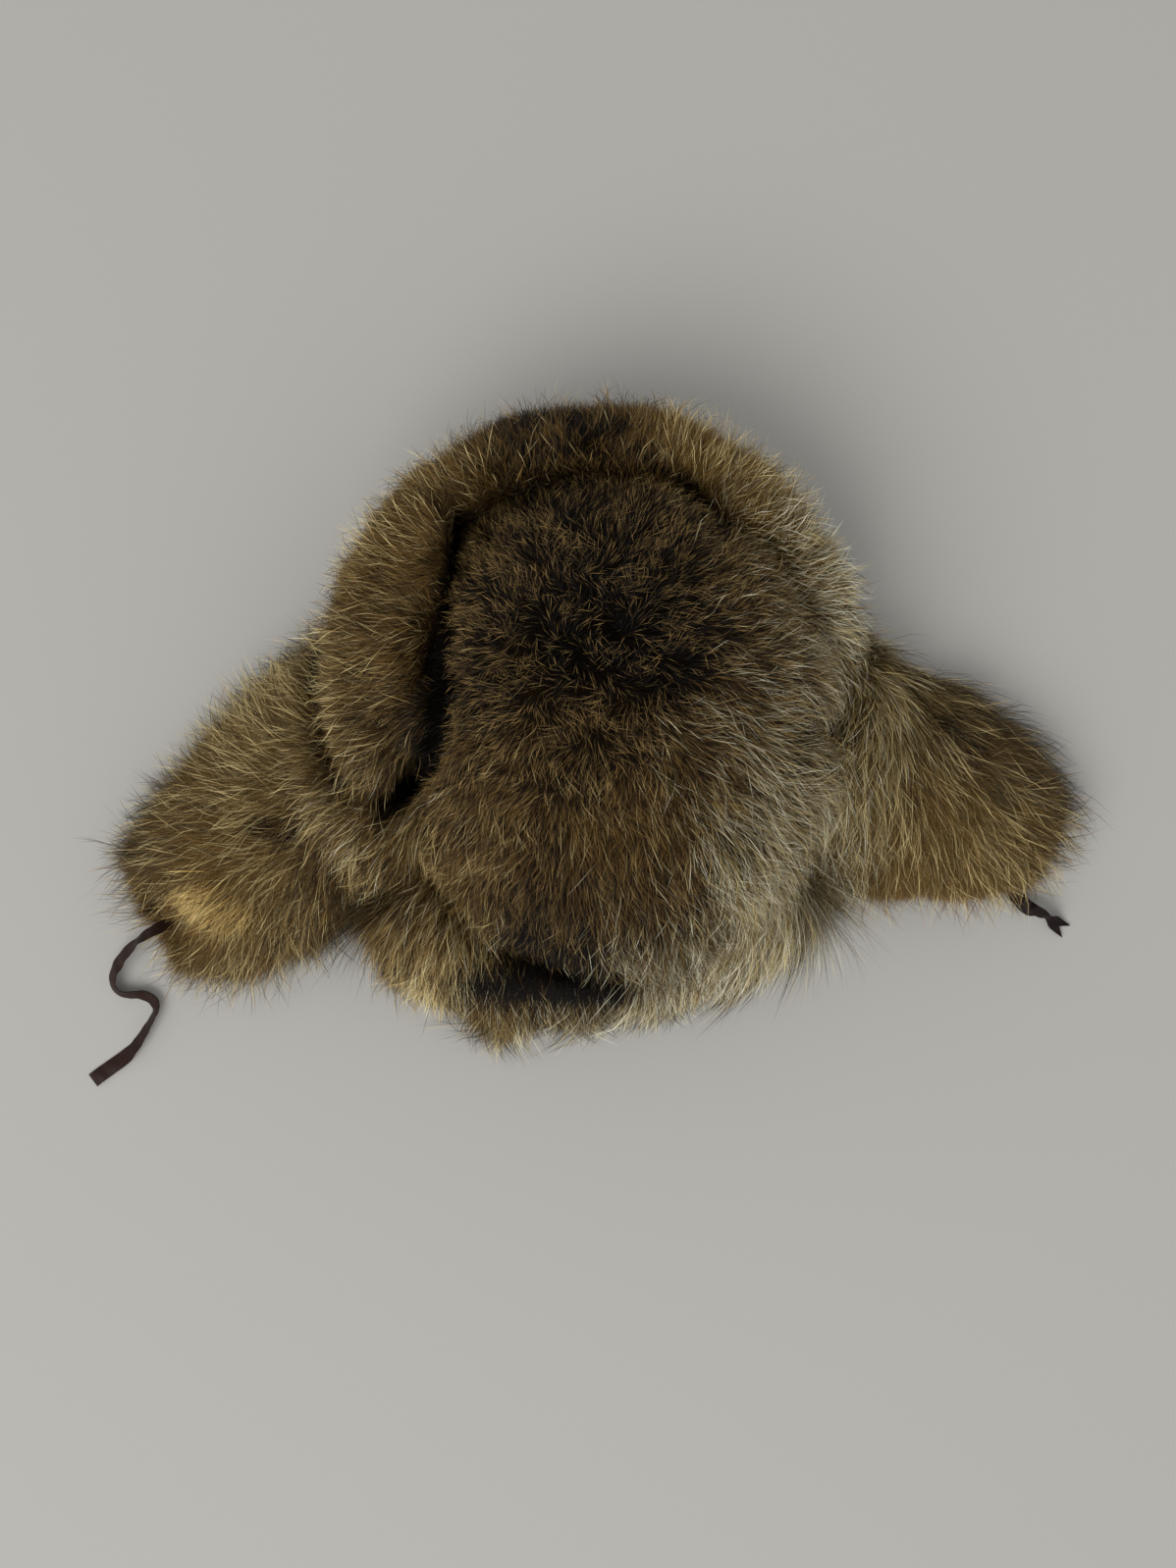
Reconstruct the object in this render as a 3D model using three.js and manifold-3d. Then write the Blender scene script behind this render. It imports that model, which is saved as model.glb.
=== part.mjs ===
// A fur ushanka lying crown up with its ear flaps spread, in millimetres, front towards -Y, +Z up.
// Places are worked out round the middle of the head opening, and the whole is centred at the end.
import * as THREE from 'three';
import { mergeVertices } from 'three/addons/utils/BufferGeometryUtils.js';
import Module from 'manifold-3d';

const wasm = await Module();
wasm.setup();

// Head opening and crown wall
const HEAD_WIDTH = 161;
const HEAD_LENGTH = 192;
const HEAD_DEPTH = 126;
const WALL = 3;
const SHOULDER = 46;
const ROUNDNESS = 0.92;
const CROWN_LEAN = 7;

// Clearance between pieces that meet, how far a piece runs past a cut, and the grid of the corners
const GAP = 0.3;
const OVERCUT = 2;
const GRID = 0.01;

// Fur: the dense underfur that backs the locks, and the whole pile
const CROWN_UNDERFUR = 8;
const CROWN_PILE = 15;
const CROWN_HEM = 12;
const SWIRL_FORWARD = 31;
const LAPPET_PILE = 9;
const LAPPET_ROOM = 12;

// The turned up front, measured out from the crown wall and up from the floor
const VISOR_REACH = 42;
const VISOR_HEIGHT = 92;

// The ear flaps, from the root near the rim to the tip
const LEFT_FLAP = { rootX: 95, rootY: 15, heading: 28, length: 143, halfWidth: 54, height: 44 };
const RIGHT_FLAP = { rootX: -95, rootY: 10, heading: 160, length: 126, halfWidth: 51, height: 44 };

// The neck flap, measured as the visor is
const NECK_REACH = 40;
const NECK_HEIGHT = 50;
const NECK_FROM = 128;
const NECK_TO = 233;

// Tie ribbons, flat on the floor
const RIBBON_WIDTH = 7.2;
const RIBBON_THICKNESS = 0.8;
const RIBBON_LIFT = 0.6;

// Clearance at the ends of the visor and of the neck flap, in degrees of turn
const END_GAP = 0.25;

// Locks: shares of the pile, how much they vary in size, how much fuller they are halfway,
// the share of the length behind the root, and how far each second row is shifted
const LOCK_THICKNESS = 0.7;
const LOCK_SINK = 0.1;
const LOCK_CURL = 0.42;
const LOCK_VARIETY = 0.3;
const LOCK_FULLNESS = 0.9;
const LOCK_HEEL = 0.25;
const LOCK_SHIFTS = [0.75, 0.25];

// Ear flap shape: how square its section is, how much its locks fan out, and the bare share of its edges
const FLAP_SQUARENESS = 0.75;
const FLAP_FAN = 0.8;
const EDGE_MARGIN = 0.03;

// Facets
const DOME_SIDES = 24;
const DOME_STEPS = 5;
const BAND_STEPS = 12;
const FLAP_SIDES = 10;
const FLAP_STEPS = 7;
const LOCK_SIDES = 4;
const TIE_STEP = 5;

// Turned up front: turn from the front towards the left ear in degrees, and shares of its named sizes
const VISOR_ROWS = [
  { turn: -90, reach: 0.62, height: 0.40, inner: 0.30, crest: 0.30 },
  { turn: -78, reach: 0.82, height: 0.68, inner: 0.24, crest: 0.24 },
  { turn: -55, reach: 0.92, height: 0.88, inner: 0.20, crest: 0.14 },
  { turn: -30, reach: 0.98, height: 0.96, inner: 0.20, crest: 0.14 },
  { turn: 0, reach: 1.02, height: 1.00, inner: 0.30, crest: 0.24 },
  { turn: 25, reach: 1.10, height: 1.02, inner: 0.38, crest: 0.30 },
  { turn: 50, reach: 1.16, height: 1.06, inner: 0.44, crest: 0.26 },
  { turn: 75, reach: 1.10, height: 1.04, inner: 0.46, crest: 0.22 },
  { turn: 95, reach: 0.94, height: 0.86, inner: 0.48, crest: 0.30 },
  { turn: 108, reach: 0.76, height: 0.56, inner: 0.48, crest: 0.46 },
];

// Neck flap, in the same way, round the back
const NECK_ROWS = [
  { turn: 122, reach: 1.40, height: 0.94 },
  { turn: 134, reach: 1.46, height: 0.96 },
  { turn: 150, reach: 1.30, height: 1.00 },
  { turn: 160, reach: 1.32, height: 1.00 },
  { turn: 172, reach: 0.98, height: 1.00 },
  { turn: 186, reach: 0.84, height: 0.98 },
  { turn: 200, reach: 0.82, height: 0.96 },
  { turn: 214, reach: 1.00, height: 0.98 },
  { turn: 226, reach: 1.06, height: 1.00 },
  { turn: 238, reach: 0.96, height: 0.96 },
];

// Sections of the two bands: out is a share of the reach, up a share of the height,
// swell the share of a margin by which the point moves out. Where a point names a side,
// its out is multiplied by that column of the rows above.
const VISOR_SECTION = [
  { out: 0.00, up: -0.03, swell: -0.03 },
  { out: 0.62, up: -0.03, swell: 0.7 },
  { out: 0.90, up: 0.16, swell: 1 },
  { out: 1.00, up: 0.42, swell: 1 },
  { out: 0.98, up: 0.70, swell: 1 },
  { out: 0.86, up: 0.91, swell: 0.8 },
  { out: 0.70, up: 1.00, swell: 0.4 },
  { out: 1.00, up: 0.93, swell: -0.03, side: 'crest' },
  { out: 1.00, up: 0.60, swell: -0.03, side: 'inner' },
  { out: 0.98, up: 0.12, swell: -0.03, side: 'inner' },
  { out: 0.00, up: 0.10, swell: -0.03 },
];
const NECK_SECTION = [
  { out: 0.00, up: -0.05, swell: 0 },
  { out: 0.80, up: -0.05, swell: 0.7 },
  { out: 1.00, up: 0.16, swell: 1 },
  { out: 0.95, up: 0.48, swell: 1 },
  { out: 0.78, up: 0.80, swell: 0.8 },
  { out: 0.55, up: 0.98, swell: 0.4 },
  { out: 0.30, up: 1.00, swell: 0 },
  { out: 0.00, up: 0.22, swell: 0 },
];
const VISOR_CORE = { out: 0.60, up: 0.05, swell: 0 };
const NECK_CORE = { out: 0.50, up: 0.40, swell: 0 };

// Ear flap sections: along is a share of the length, the others are shares of the flap's own sizes
const LEFT_SECTIONS = [
  { along: -0.32, front: 1.20, back: 0.80, height: 1.20 },
  { along: 0.00, front: 1.46, back: 1.06, height: 1.18 },
  { along: 0.28, front: 1.24, back: 1.16, height: 1.02 },
  { along: 0.55, front: 0.98, back: 1.18, height: 0.96 },
  { along: 0.75, front: 0.78, back: 1.12, height: 0.92 },
  { along: 0.89, front: 0.58, back: 0.94, height: 0.80 },
  { along: 0.97, front: 0.36, back: 0.68, height: 0.60 },
  { along: 1.00, front: 0.16, back: 0.42, height: 0.36 },
];
const RIGHT_SECTIONS = [
  { along: -0.36, front: 1.00, back: 0.80, height: 1.20 },
  { along: 0.00, front: 1.30, back: 1.10, height: 1.16 },
  { along: 0.28, front: 1.18, back: 1.14, height: 1.02 },
  { along: 0.52, front: 1.04, back: 1.08, height: 0.96 },
  { along: 0.74, front: 0.88, back: 0.92, height: 0.92 },
  { along: 0.89, front: 0.66, back: 0.68, height: 0.80 },
  { along: 0.97, front: 0.42, back: 0.44, height: 0.60 },
  { along: 1.00, front: 0.20, back: 0.22, height: 0.36 },
];

// Rows of locks: at is the place along the surface, count the locks in the row
const CROWN_LOCKS = [
  { at: 0.97, count: 3, length: 30, width: 28 },
  { at: 0.82, count: 7, length: 34, width: 32 },
  { at: 0.64, count: 11, length: 36, width: 34 },
  { at: 0.45, count: 13, length: 36, width: 36 },
  { at: 0.27, count: 13, length: 34, width: 36 },
];
const VISOR_LOCKS = [
  { at: 0.22, count: 7, length: 32, width: 38 },
  { at: 0.38, count: 8, length: 34, width: 38 },
  { at: 0.51, count: 8, length: 34, width: 36 },
  { at: 0.62, count: 8, length: 28, width: 32 },
];
const NECK_LOCKS = [
  { at: 0.20, count: 6, length: 30, width: 34 },
  { at: 0.42, count: 7, length: 34, width: 32 },
  { at: 0.62, count: 6, length: 34, width: 32 },
];
const FLAP_LOCKS = [
  { at: 0.22, count: 4, length: 40, width: 34 },
  { at: 0.40, count: 5, length: 42, width: 32 },
  { at: 0.56, count: 5, length: 40, width: 30 },
  { at: 0.72, count: 5, length: 34, width: 26 },
  { at: 0.88, count: 5, length: 26, width: 20 },
];

// The routes of the ties along the floor, from the flap's tip to the cut end
const LEFT_TIE = [
  [203, 90], [207.4, 92.8], [211.8, 95.5], [215.6, 97.4], [219.2, 99.2], [222.8, 101.2], [226.2, 103.6],
  [229.4, 106.4], [232.4, 109.4], [235, 112.6], [237.2, 116], [238.9, 119.4], [239.8, 123], [239.2, 127],
  [236.2, 130], [232, 130.9], [227.6, 130.8], [223.2, 131.6], [219.8, 134], [218.6, 138], [220.4, 142.4],
  [222.8, 146.6], [225.2, 150.6], [227.8, 154.6], [230.8, 158.3], [234.6, 161.8], [239.2, 165.2],
  [244.6, 169], [250, 173],
];
const RIGHT_TIE = [
  [-189, 67], [-191.6, 70.2], [-194.1, 73.4], [-196.2, 76.2], [-198.4, 79], [-200.8, 81.8],
  [-203.2, 84.9], [-205.6, 87.4], [-208.4, 89.2], [-211.2, 90.2], [-213.8, 91.6], [-216.2, 93.1],
  [-218.6, 94.7], [-221, 96.6], [-223.4, 98.4], [-225.8, 100.2],
];

const MATERIALS = {
  pelt: new THREE.MeshStandardMaterial({ color: 0x4a3426, roughness: 0.85, metalness: 0 }),
  crown: new THREE.MeshStandardMaterial({ color: 0x6b4f30, roughness: 0.95, metalness: 0 }),
  visor: new THREE.MeshStandardMaterial({ color: 0x7a5c38, roughness: 0.95, metalness: 0 }),
  flap: new THREE.MeshStandardMaterial({ color: 0x8a6b42, roughness: 0.95, metalness: 0 }),
  ribbon: new THREE.MeshStandardMaterial({ color: 0x3d2624, roughness: 0.45, metalness: 0 }),
};

const UP = new THREE.Vector3(0, 0, 1);
const radians = THREE.MathUtils.degToRad;

// A small steady unevenness between -0.5 and 0.5, different for each number
const sway = (number) => ((number * 0.618034) % 1) - 0.5;

// The value of a column at a place, eased between the two rows round it
function read(rows, key, place, column) {
  const after = rows.findIndex((row) => row[key] >= place);
  if (after <= 0) return rows.at(after)[column];
  const [low, high] = [rows[after - 1], rows[after]];
  const share = THREE.MathUtils.smoothstep(place, low[key], high[key]);
  return THREE.MathUtils.lerp(low[column], high[column], share);
}

// A closed geometry as a solid, with its faces turned outwards
function solid(geometry) {
  geometry.deleteAttribute('normal');
  geometry.deleteAttribute('uv');
  const merged = mergeVertices(geometry, 1e-3);
  const corners = merged.attributes.position.array;
  const index = Array.from({ length: merged.index.count / 3 }, (_, face) => face * 3);
  const faces = Uint32Array.from(index.flatMap((first) => {
    const face = merged.index.array.slice(first, first + 3);
    return new Set(face).size === 3 ? [...face] : [];
  }));
  const [a, b, c] = [new THREE.Vector3(), new THREE.Vector3(), new THREE.Vector3()];
  let volume = 0;
  for (let i = 0; i < faces.length; i += 3) {
    a.fromArray(corners, faces[i] * 3);
    b.fromArray(corners, faces[i + 1] * 3);
    c.fromArray(corners, faces[i + 2] * 3);
    volume += a.dot(b.cross(c));
  }
  if (volume < 0) faces.reverse();
  return new wasm.Manifold(new wasm.Mesh({ numProp: 3, vertProperties: corners, triVerts: faces }));
}

// A solid swept along a surface: a cylinder whose vertices are laid on surface(around, along)
function swept(surface, sides, steps) {
  const shape = new THREE.CylinderGeometry(1, 1, 1, sides, steps);
  const spots = shape.attributes.position;
  for (let i = 0; i < spots.count; i += 1) {
    const [x, y, z] = [spots.getX(i), spots.getY(i), spots.getZ(i)];
    const side = Math.round((Math.atan2(x, z) / (2 * Math.PI)) * sides);
    const around = ((side + sides) % sides) / sides;
    const spot = Math.hypot(x, z) > 0.5 ? surface(around, y + 0.5) : surface.core(y + 0.5);
    spots.setXYZ(i, spot.x, spot.y, spot.z);
  }
  return solid(shape);
}

// Where a ray from the head's middle leaves the crown wall, given out from the wall
function atTurn(turn, out) {
  const angle = radians(turn);
  const across = HEAD_WIDTH / 2 + WALL;
  const along = HEAD_LENGTH / 2 + WALL;
  const wall = 1 / Math.hypot(Math.sin(angle) / across, Math.cos(angle) / along);
  const reach = wall + out;
  return new THREE.Vector3(Math.sin(angle) * reach, -Math.cos(angle) * reach, 0);
}

// How far the crown leans towards the right ear at a height
const leanAt = (height) => (-CROWN_LEAN * Math.max(0, height - SHOULDER)) / (HEAD_DEPTH - SHOULDER);

// The dome at a distance off the inside of the crown wall: turn share, and rise from the rim to the top
function dome(off) {
  const top = HEAD_DEPTH - SHOULDER + off;
  const arc = (Math.PI / 4) * (HEAD_WIDTH / 2 + off + top);
  return (around, rise) => {
    const up = rise * (SHOULDER + arc);
    const bend = Math.max(0, ((up - SHOULDER) / arc) * (Math.PI / 2));
    const narrow = Math.max(0, Math.cos(bend)) ** ROUNDNESS;
    const turn = around * 2 * Math.PI;
    const height = Math.min(up, SHOULDER) + top * Math.sin(bend) ** ROUNDNESS;
    return new THREE.Vector3(
      Math.sin(turn) * (HEAD_WIDTH / 2 + off) * narrow + leanAt(height),
      -Math.cos(turn) * (HEAD_LENGTH / 2 + off) * narrow,
      height,
    );
  };
}

// The solid dome under that surface, from a height up
function domeSolid(off, from) {
  const top = HEAD_DEPTH - SHOULDER + off;
  const profile = [new THREE.Vector2(0, from), new THREE.Vector2(1, from)];
  for (let step = 0; step < DOME_STEPS; step += 1) {
    const bend = (step / DOME_STEPS) * (Math.PI / 2);
    const narrow = Math.cos(bend) ** ROUNDNESS;
    profile.push(new THREE.Vector2(narrow, SHOULDER + top * Math.sin(bend) ** ROUNDNESS));
  }
  profile.push(new THREE.Vector2(0, SHOULDER + top));
  const shape = new THREE.LatheGeometry(profile, DOME_SIDES);
  shape.rotateX(Math.PI / 2);
  shape.scale(HEAD_WIDTH / 2 + off, HEAD_LENGTH / 2 + off, 1);
  const spots = shape.attributes.position;
  for (let i = 0; i < spots.count; i += 1) spots.setX(i, spots.getX(i) + leanAt(spots.getZ(i)));
  return solid(shape);
}

// A band round the crown whose section changes with the turn, grown outwards by a margin in
// millimetres and at its ends by a margin in degrees. Its core is a point that sees the whole section.
function band(rows, section, core, reach, height, grow, ends) {
  const [from, to] = [rows[0].turn, rows.at(-1).turn];
  const turnAt = (along) => {
    const past = (along >= 1) - (along <= 0);
    return THREE.MathUtils.lerp(from, to, along) + past * ends;
  };
  const place = (point, turn) => {
    const out = point.out * (point.side ? read(rows, 'turn', turn, point.side) : 1);
    const far = out * read(rows, 'turn', turn, 'reach') * reach + point.swell * grow;
    const high = point.up * read(rows, 'turn', turn, 'height') * height + Math.max(0, point.up) * grow;
    return atTurn(turn, far).setZ(high);
  };
  const surface = (around, along) => {
    const at = ((around + 1) % 1) * section.length;
    const [corner, share] = [Math.floor(at), at % 1];
    const turn = turnAt(along);
    return place(section[corner], turn).lerp(place(section[(corner + 1) % section.length], turn), share);
  };
  surface.core = (along) => place(core, turnAt(along));
  return surface;
}

// An ear flap: a flat bottomed pillow whose section changes along its length
function flap(sizes, rows) {
  const heading = radians(sizes.heading);
  const forth = new THREE.Vector3(Math.cos(heading), Math.sin(heading), 0);
  const rear = new THREE.Vector3(0, 1, 0).addScaledVector(forth, -forth.y).normalize();
  const root = new THREE.Vector3(sizes.rootX, sizes.rootY, 0);
  const [from, to] = [rows[0].along, rows.at(-1).along];
  const surface = (around, share) => {
    const along = THREE.MathUtils.lerp(from, to, Math.sin((share * Math.PI) / 2));
    const angle = around * 2 * Math.PI;
    const across = Math.cos(angle);
    const half = read(rows, 'along', along, across < 0 ? 'front' : 'back');
    const high = read(rows, 'along', along, 'height') * Math.max(0, Math.sin(angle)) ** FLAP_SQUARENESS;
    return root.clone()
      .addScaledVector(forth, along * sizes.length)
      .addScaledVector(rear, across * half * sizes.halfWidth)
      .setZ(Math.sin(angle) > 1e-6 ? high * sizes.height : -OVERCUT);
  };
  surface.core = (share) => surface(0.25, share).setZ(0);
  return surface;
}

// A lock: a flattened cone with its root sunk in the backing and its tip curling up
function lock(root, along, out, { length, width, thickness, sink, curl }) {
  const shape = new THREE.ConeGeometry(0.5, 1, LOCK_SIDES, 2);
  const side = new THREE.Vector3().crossVectors(along, out);
  const spots = shape.attributes.position;
  for (let i = 0; i < spots.count; i += 1) {
    const share = spots.getY(i) + 0.5;
    const full = 1 + LOCK_FULLNESS * Math.sin(share * Math.PI);
    const spot = root.clone()
      .addScaledVector(side, spots.getX(i) * width * full)
      .addScaledVector(along, (share - LOCK_HEEL) * length)
      .addScaledVector(out, spots.getZ(i) * thickness * full - sink + curl * share ** 2);
    spots.setXYZ(i, spot.x, spot.y, spot.z);
  }
  return solid(shape);
}

// The place and the outward direction of a surface
function frameAt(surface, around, along) {
  const step = 1e-3;
  const spot = surface(around, along);
  const sideways = surface(around + step, along).sub(surface(around - step, along));
  const onwards = surface(around, along + step).sub(surface(around, along - step));
  return { spot, out: sideways.cross(onwards).normalize() };
}

// A share moved in from both ends by a margin
const within = (share, margin) => margin + (1 - 2 * margin) * share;

// A direction laid flat on a surface
const laid = (direction, out) => direction.clone().projectOnPlane(out).normalize();

// Rows of locks fused to a backing
function furred(backing, places, flow, pile) {
  return places.reduce((body, { spot, out, row, number }) => {
    const along = laid(flow(spot, out, number), out);
    const uneven = 1 + LOCK_VARIETY * sway(number);
    return body.add(lock(spot, along, out, {
      length: row.length * uneven,
      width: row.width * uneven,
      thickness: pile * LOCK_THICKNESS,
      sink: pile * LOCK_SINK,
      curl: pile * LOCK_CURL,
    }));
  }, backing);
}

// The outer skin of a solid alone, with no loose crumb and no closed pocket
function whole(body) {
  return body.decompose().reduce((most, part) => (part.volume() > most.volume() ? part : most));
}

// A solid as a geometry, with its corners on a fine grid so that no sliver is left
function geometryOf(body) {
  const { vertProperties, triVerts } = body.getMesh();
  const corners = vertProperties.map((value) => Math.round(value / GRID) * GRID);
  const geometry = new THREE.BufferGeometry();
  geometry.setAttribute('position', new THREE.BufferAttribute(corners, 3));
  geometry.setIndex(new THREE.BufferAttribute(triVerts, 1));
  return geometry;
}

// A wedge of everything between two turns round the head's middle
function sector(from, to) {
  const far = 2 * (HEAD_LENGTH + LEFT_FLAP.length);
  const shape = new THREE.Shape();
  shape.moveTo(0, 0);
  const steps = 4;
  for (let step = 0; step <= steps; step += 1) {
    const angle = radians(THREE.MathUtils.lerp(from, to, step / steps));
    shape.lineTo(Math.sin(angle) * far, -Math.cos(angle) * far);
  }
  const depth = 2 * HEAD_DEPTH;
  return solid(new THREE.ExtrudeGeometry(shape, { depth, bevelEnabled: false }).translate(0, 0, -depth / 4));
}

// All that lies under the floor
function underground() {
  const wide = 4 * (HEAD_LENGTH + LEFT_FLAP.length);
  const deep = HEAD_DEPTH;
  return solid(new THREE.BoxGeometry(wide, wide, deep).translate(0, 0, -deep / 2));
}

// A flat tie along its route, grown by a margin
function tie(route, grow, floor) {
  const points = route.map(([x, y]) => new THREE.Vector3(x, y, RIBBON_LIFT));
  const path = new THREE.CatmullRomCurve3(points, false, 'centripetal');
  const half = RIBBON_WIDTH / 2 + grow;
  const high = RIBBON_THICKNESS / 2 + grow;
  const low = floor ? RIBBON_LIFT + OVERCUT : high;
  const shape = new THREE.Shape();
  shape.moveTo(-high, -half + high / 2);
  shape.lineTo(-high, half - high / 2);
  shape.lineTo(-high / 2, half);
  shape.lineTo(low / 2, half);
  shape.lineTo(low, half - high / 2);
  shape.lineTo(low, -half + high / 2);
  shape.lineTo(low / 2, -half);
  shape.lineTo(-high / 2, -half);
  shape.closePath();
  const steps = Math.round(path.getLength() / TIE_STEP);
  return new THREE.ExtrudeGeometry(shape, { steps, bevelEnabled: false, extrudePath: path });
}

// Places of the locks of a table, staggered from row to row
function lockPlaces(surface, rows, spread) {
  let number = 0;
  return rows.flatMap((row, line) => Array.from({ length: row.count }, (_, index) => {
    number += 1;
    const share = (index + LOCK_SHIFTS[line % 2]) / row.count;
    const [around, along] = spread(share, row.at);
    return { ...frameAt(surface, around, along), row, number };
  }));
}

const floor = underground();
const wallOuter = WALL + GAP;

// Crown wall: pelt and lining, open at the rim
const crownWall = domeSolid(WALL, 0).subtract(domeSolid(0, -OVERCUT));

// Crown fur: locks that lie away from the swirl, fused round the wall
const crownSkin = dome(WALL + CROWN_UNDERFUR);
const swirl = new THREE.Vector3(0, -SWIRL_FORWARD, SHOULDER + (HEAD_DEPTH - SHOULDER) * 1.3);
const crownPlaces = lockPlaces(crownSkin, CROWN_LOCKS, (share, at) => [share, at]);
const crownFlow = (spot) => spot.clone().sub(swirl);
const crownFur = whole(
  furred(domeSolid(WALL + CROWN_UNDERFUR, CROWN_HEM), crownPlaces, crownFlow, CROWN_PILE - CROWN_UNDERFUR)
    .intersect(domeSolid(WALL + CROWN_PILE, CROWN_HEM))
    .subtract(domeSolid(wallOuter, -OVERCUT)),
);

// The room that the crown keeps for itself: its wall to the floor, and its fur above the hem
const crownRoom = domeSolid(wallOuter, -OVERCUT).add(domeSolid(WALL + CROWN_PILE + GAP, CROWN_HEM - GAP));

// Turned up front
const visorBand = (grow, ends) => band(
  VISOR_ROWS, VISOR_SECTION, VISOR_CORE, VISOR_REACH, VISOR_HEIGHT, grow, ends,
);
const visorSolid = (grow, ends) => swept(visorBand(grow, ends), VISOR_SECTION.length, BAND_STEPS);
const visorPlaces = lockPlaces(visorBand(0, 0), VISOR_LOCKS, (share, at) => [at, within(share, EDGE_MARGIN)]);
const visorFlow = (spot) => spot.clone().setZ(0).normalize().addScaledVector(UP, spot.z / VISOR_HEIGHT);
const frontVisor = whole(
  furred(visorSolid(0, 0), visorPlaces, visorFlow, LAPPET_PILE)
    .intersect(visorSolid(LAPPET_ROOM, 0))
    .subtract(crownRoom)
    .subtract(floor),
);

// The room that the visor keeps for itself, filled in to the crown wall
const filled = VISOR_SECTION.map((point) => (point.side ? { ...point, out: 0 } : point));
const visorRoom = swept(
  band(VISOR_ROWS, filled, VISOR_CORE, VISOR_REACH, VISOR_HEIGHT, LAPPET_ROOM + GAP, END_GAP),
  filled.length,
  BAND_STEPS,
);

// Neck flap
const neckBand = band(NECK_ROWS, NECK_SECTION, NECK_CORE, NECK_REACH, NECK_HEIGHT, 0, 0);
const neckPlaces = lockPlaces(neckBand, NECK_LOCKS, (share, at) => [at, within(share, EDGE_MARGIN)]);
const neckFlow = (spot) => spot.clone().setZ(0).normalize();
const neckFlap = whole(
  furred(swept(neckBand, NECK_SECTION.length, BAND_STEPS), neckPlaces, neckFlow, LAPPET_PILE)
    .intersect(sector(NECK_FROM, NECK_TO))
    .subtract(crownRoom)
    .subtract(floor),
);
const neckRoom = sector(NECK_FROM - END_GAP, NECK_TO + END_GAP);

// Ear flaps
function earFlap(sizes, sections, route) {
  const surface = flap(sizes, sections);
  const heading = radians(sizes.heading);
  const forth = new THREE.Vector3(Math.cos(heading), Math.sin(heading), 0);
  const root = new THREE.Vector3(sizes.rootX, sizes.rootY, 0);
  const places = lockPlaces(surface, FLAP_LOCKS, (share, at) => [within(share, 2 * EDGE_MARGIN) / 2, at]);
  const flow = (spot) => {
    const aside = spot.clone().setZ(0).sub(root).projectOnPlane(forth);
    return forth.clone().addScaledVector(aside, FLAP_FAN / sizes.halfWidth);
  };
  return whole(
    furred(swept(surface, FLAP_SIDES, FLAP_STEPS), places, flow, LAPPET_PILE)
      .subtract(crownRoom)
      .subtract(visorRoom)
      .subtract(neckRoom)
      .subtract(solid(tie(route, GAP, true)))
      .subtract(floor),
  );
}

// A solid as a named mesh
function piece(name, body, material) {
  const mesh = new THREE.Mesh(geometryOf(whole(solid(geometryOf(body)))), material);
  mesh.name = name;
  return mesh;
}

// A tie, cut back at its root so that it keeps clear of the end of its channel
function ribbon(name, route) {
  const [root, next] = route.map(([x, y]) => new THREE.Vector3(x, y, 0));
  const forth = next.sub(root).normalize();
  const body = solid(tie(route, 0, false)).trimByPlane(forth.toArray(), root.dot(forth) + GAP);
  return piece(name, body, MATERIALS.ribbon);
}

const furPieces = [
  piece('crown_wall', crownWall, MATERIALS.pelt),
  piece('crown_fur', crownFur, MATERIALS.crown),
  piece('front_visor', frontVisor, MATERIALS.visor),
  piece('ear_flap_left', earFlap(LEFT_FLAP, LEFT_SECTIONS, LEFT_TIE), MATERIALS.flap),
  piece('ear_flap_right', earFlap(RIGHT_FLAP, RIGHT_SECTIONS, RIGHT_TIE), MATERIALS.flap),
  piece('neck_flap', neckFlap, MATERIALS.flap),
];
const ribbons = [ribbon('ribbon_left', LEFT_TIE), ribbon('ribbon_right', RIGHT_TIE)];

// The hat stands on the floor with its middle at the origin; the loose ties don't count
const hat = new THREE.Group();
hat.add(...furPieces);
const reach = new THREE.Box3().setFromObject(hat);
const centre = reach.getCenter(new THREE.Vector3());
hat.add(...ribbons);
hat.position.set(-Math.round(centre.x / GRID) * GRID, -Math.round(centre.y / GRID) * GRID, 0);

const ushanka = new THREE.Group();
ushanka.add(hat);

export default ushanka;
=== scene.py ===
"""A long-haired fur ushanka lying crown up, dressed round its CAD frame."""

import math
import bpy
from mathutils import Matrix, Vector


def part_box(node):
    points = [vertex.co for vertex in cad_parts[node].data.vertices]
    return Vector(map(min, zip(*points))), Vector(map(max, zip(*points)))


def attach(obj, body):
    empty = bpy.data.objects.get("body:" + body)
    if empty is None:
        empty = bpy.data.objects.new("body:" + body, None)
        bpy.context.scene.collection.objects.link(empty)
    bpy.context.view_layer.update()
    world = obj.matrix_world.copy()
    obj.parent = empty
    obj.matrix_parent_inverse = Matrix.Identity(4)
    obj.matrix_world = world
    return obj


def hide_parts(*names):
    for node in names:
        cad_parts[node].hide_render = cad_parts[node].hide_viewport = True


bl_info = {
    "name": "Fur Ushanka",
    "version": (1, 0, 0),
    "blender": (4, 5, 0),
    "location": "View3D > Sidebar > Ushanka",
    "description": "Underfur, hair, tie ribbons and a studio for a long-haired fur hat",
    "category": "Object",
}

import bpy
import numpy as np
from mathutils import Vector, kdtree

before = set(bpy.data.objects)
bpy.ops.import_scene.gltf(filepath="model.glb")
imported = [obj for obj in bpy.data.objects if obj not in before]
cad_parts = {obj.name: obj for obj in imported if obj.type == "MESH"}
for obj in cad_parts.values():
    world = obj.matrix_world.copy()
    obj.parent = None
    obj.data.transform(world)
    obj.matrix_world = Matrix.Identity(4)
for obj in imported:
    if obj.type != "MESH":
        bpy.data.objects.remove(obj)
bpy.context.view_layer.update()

MM = 0.001

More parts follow.
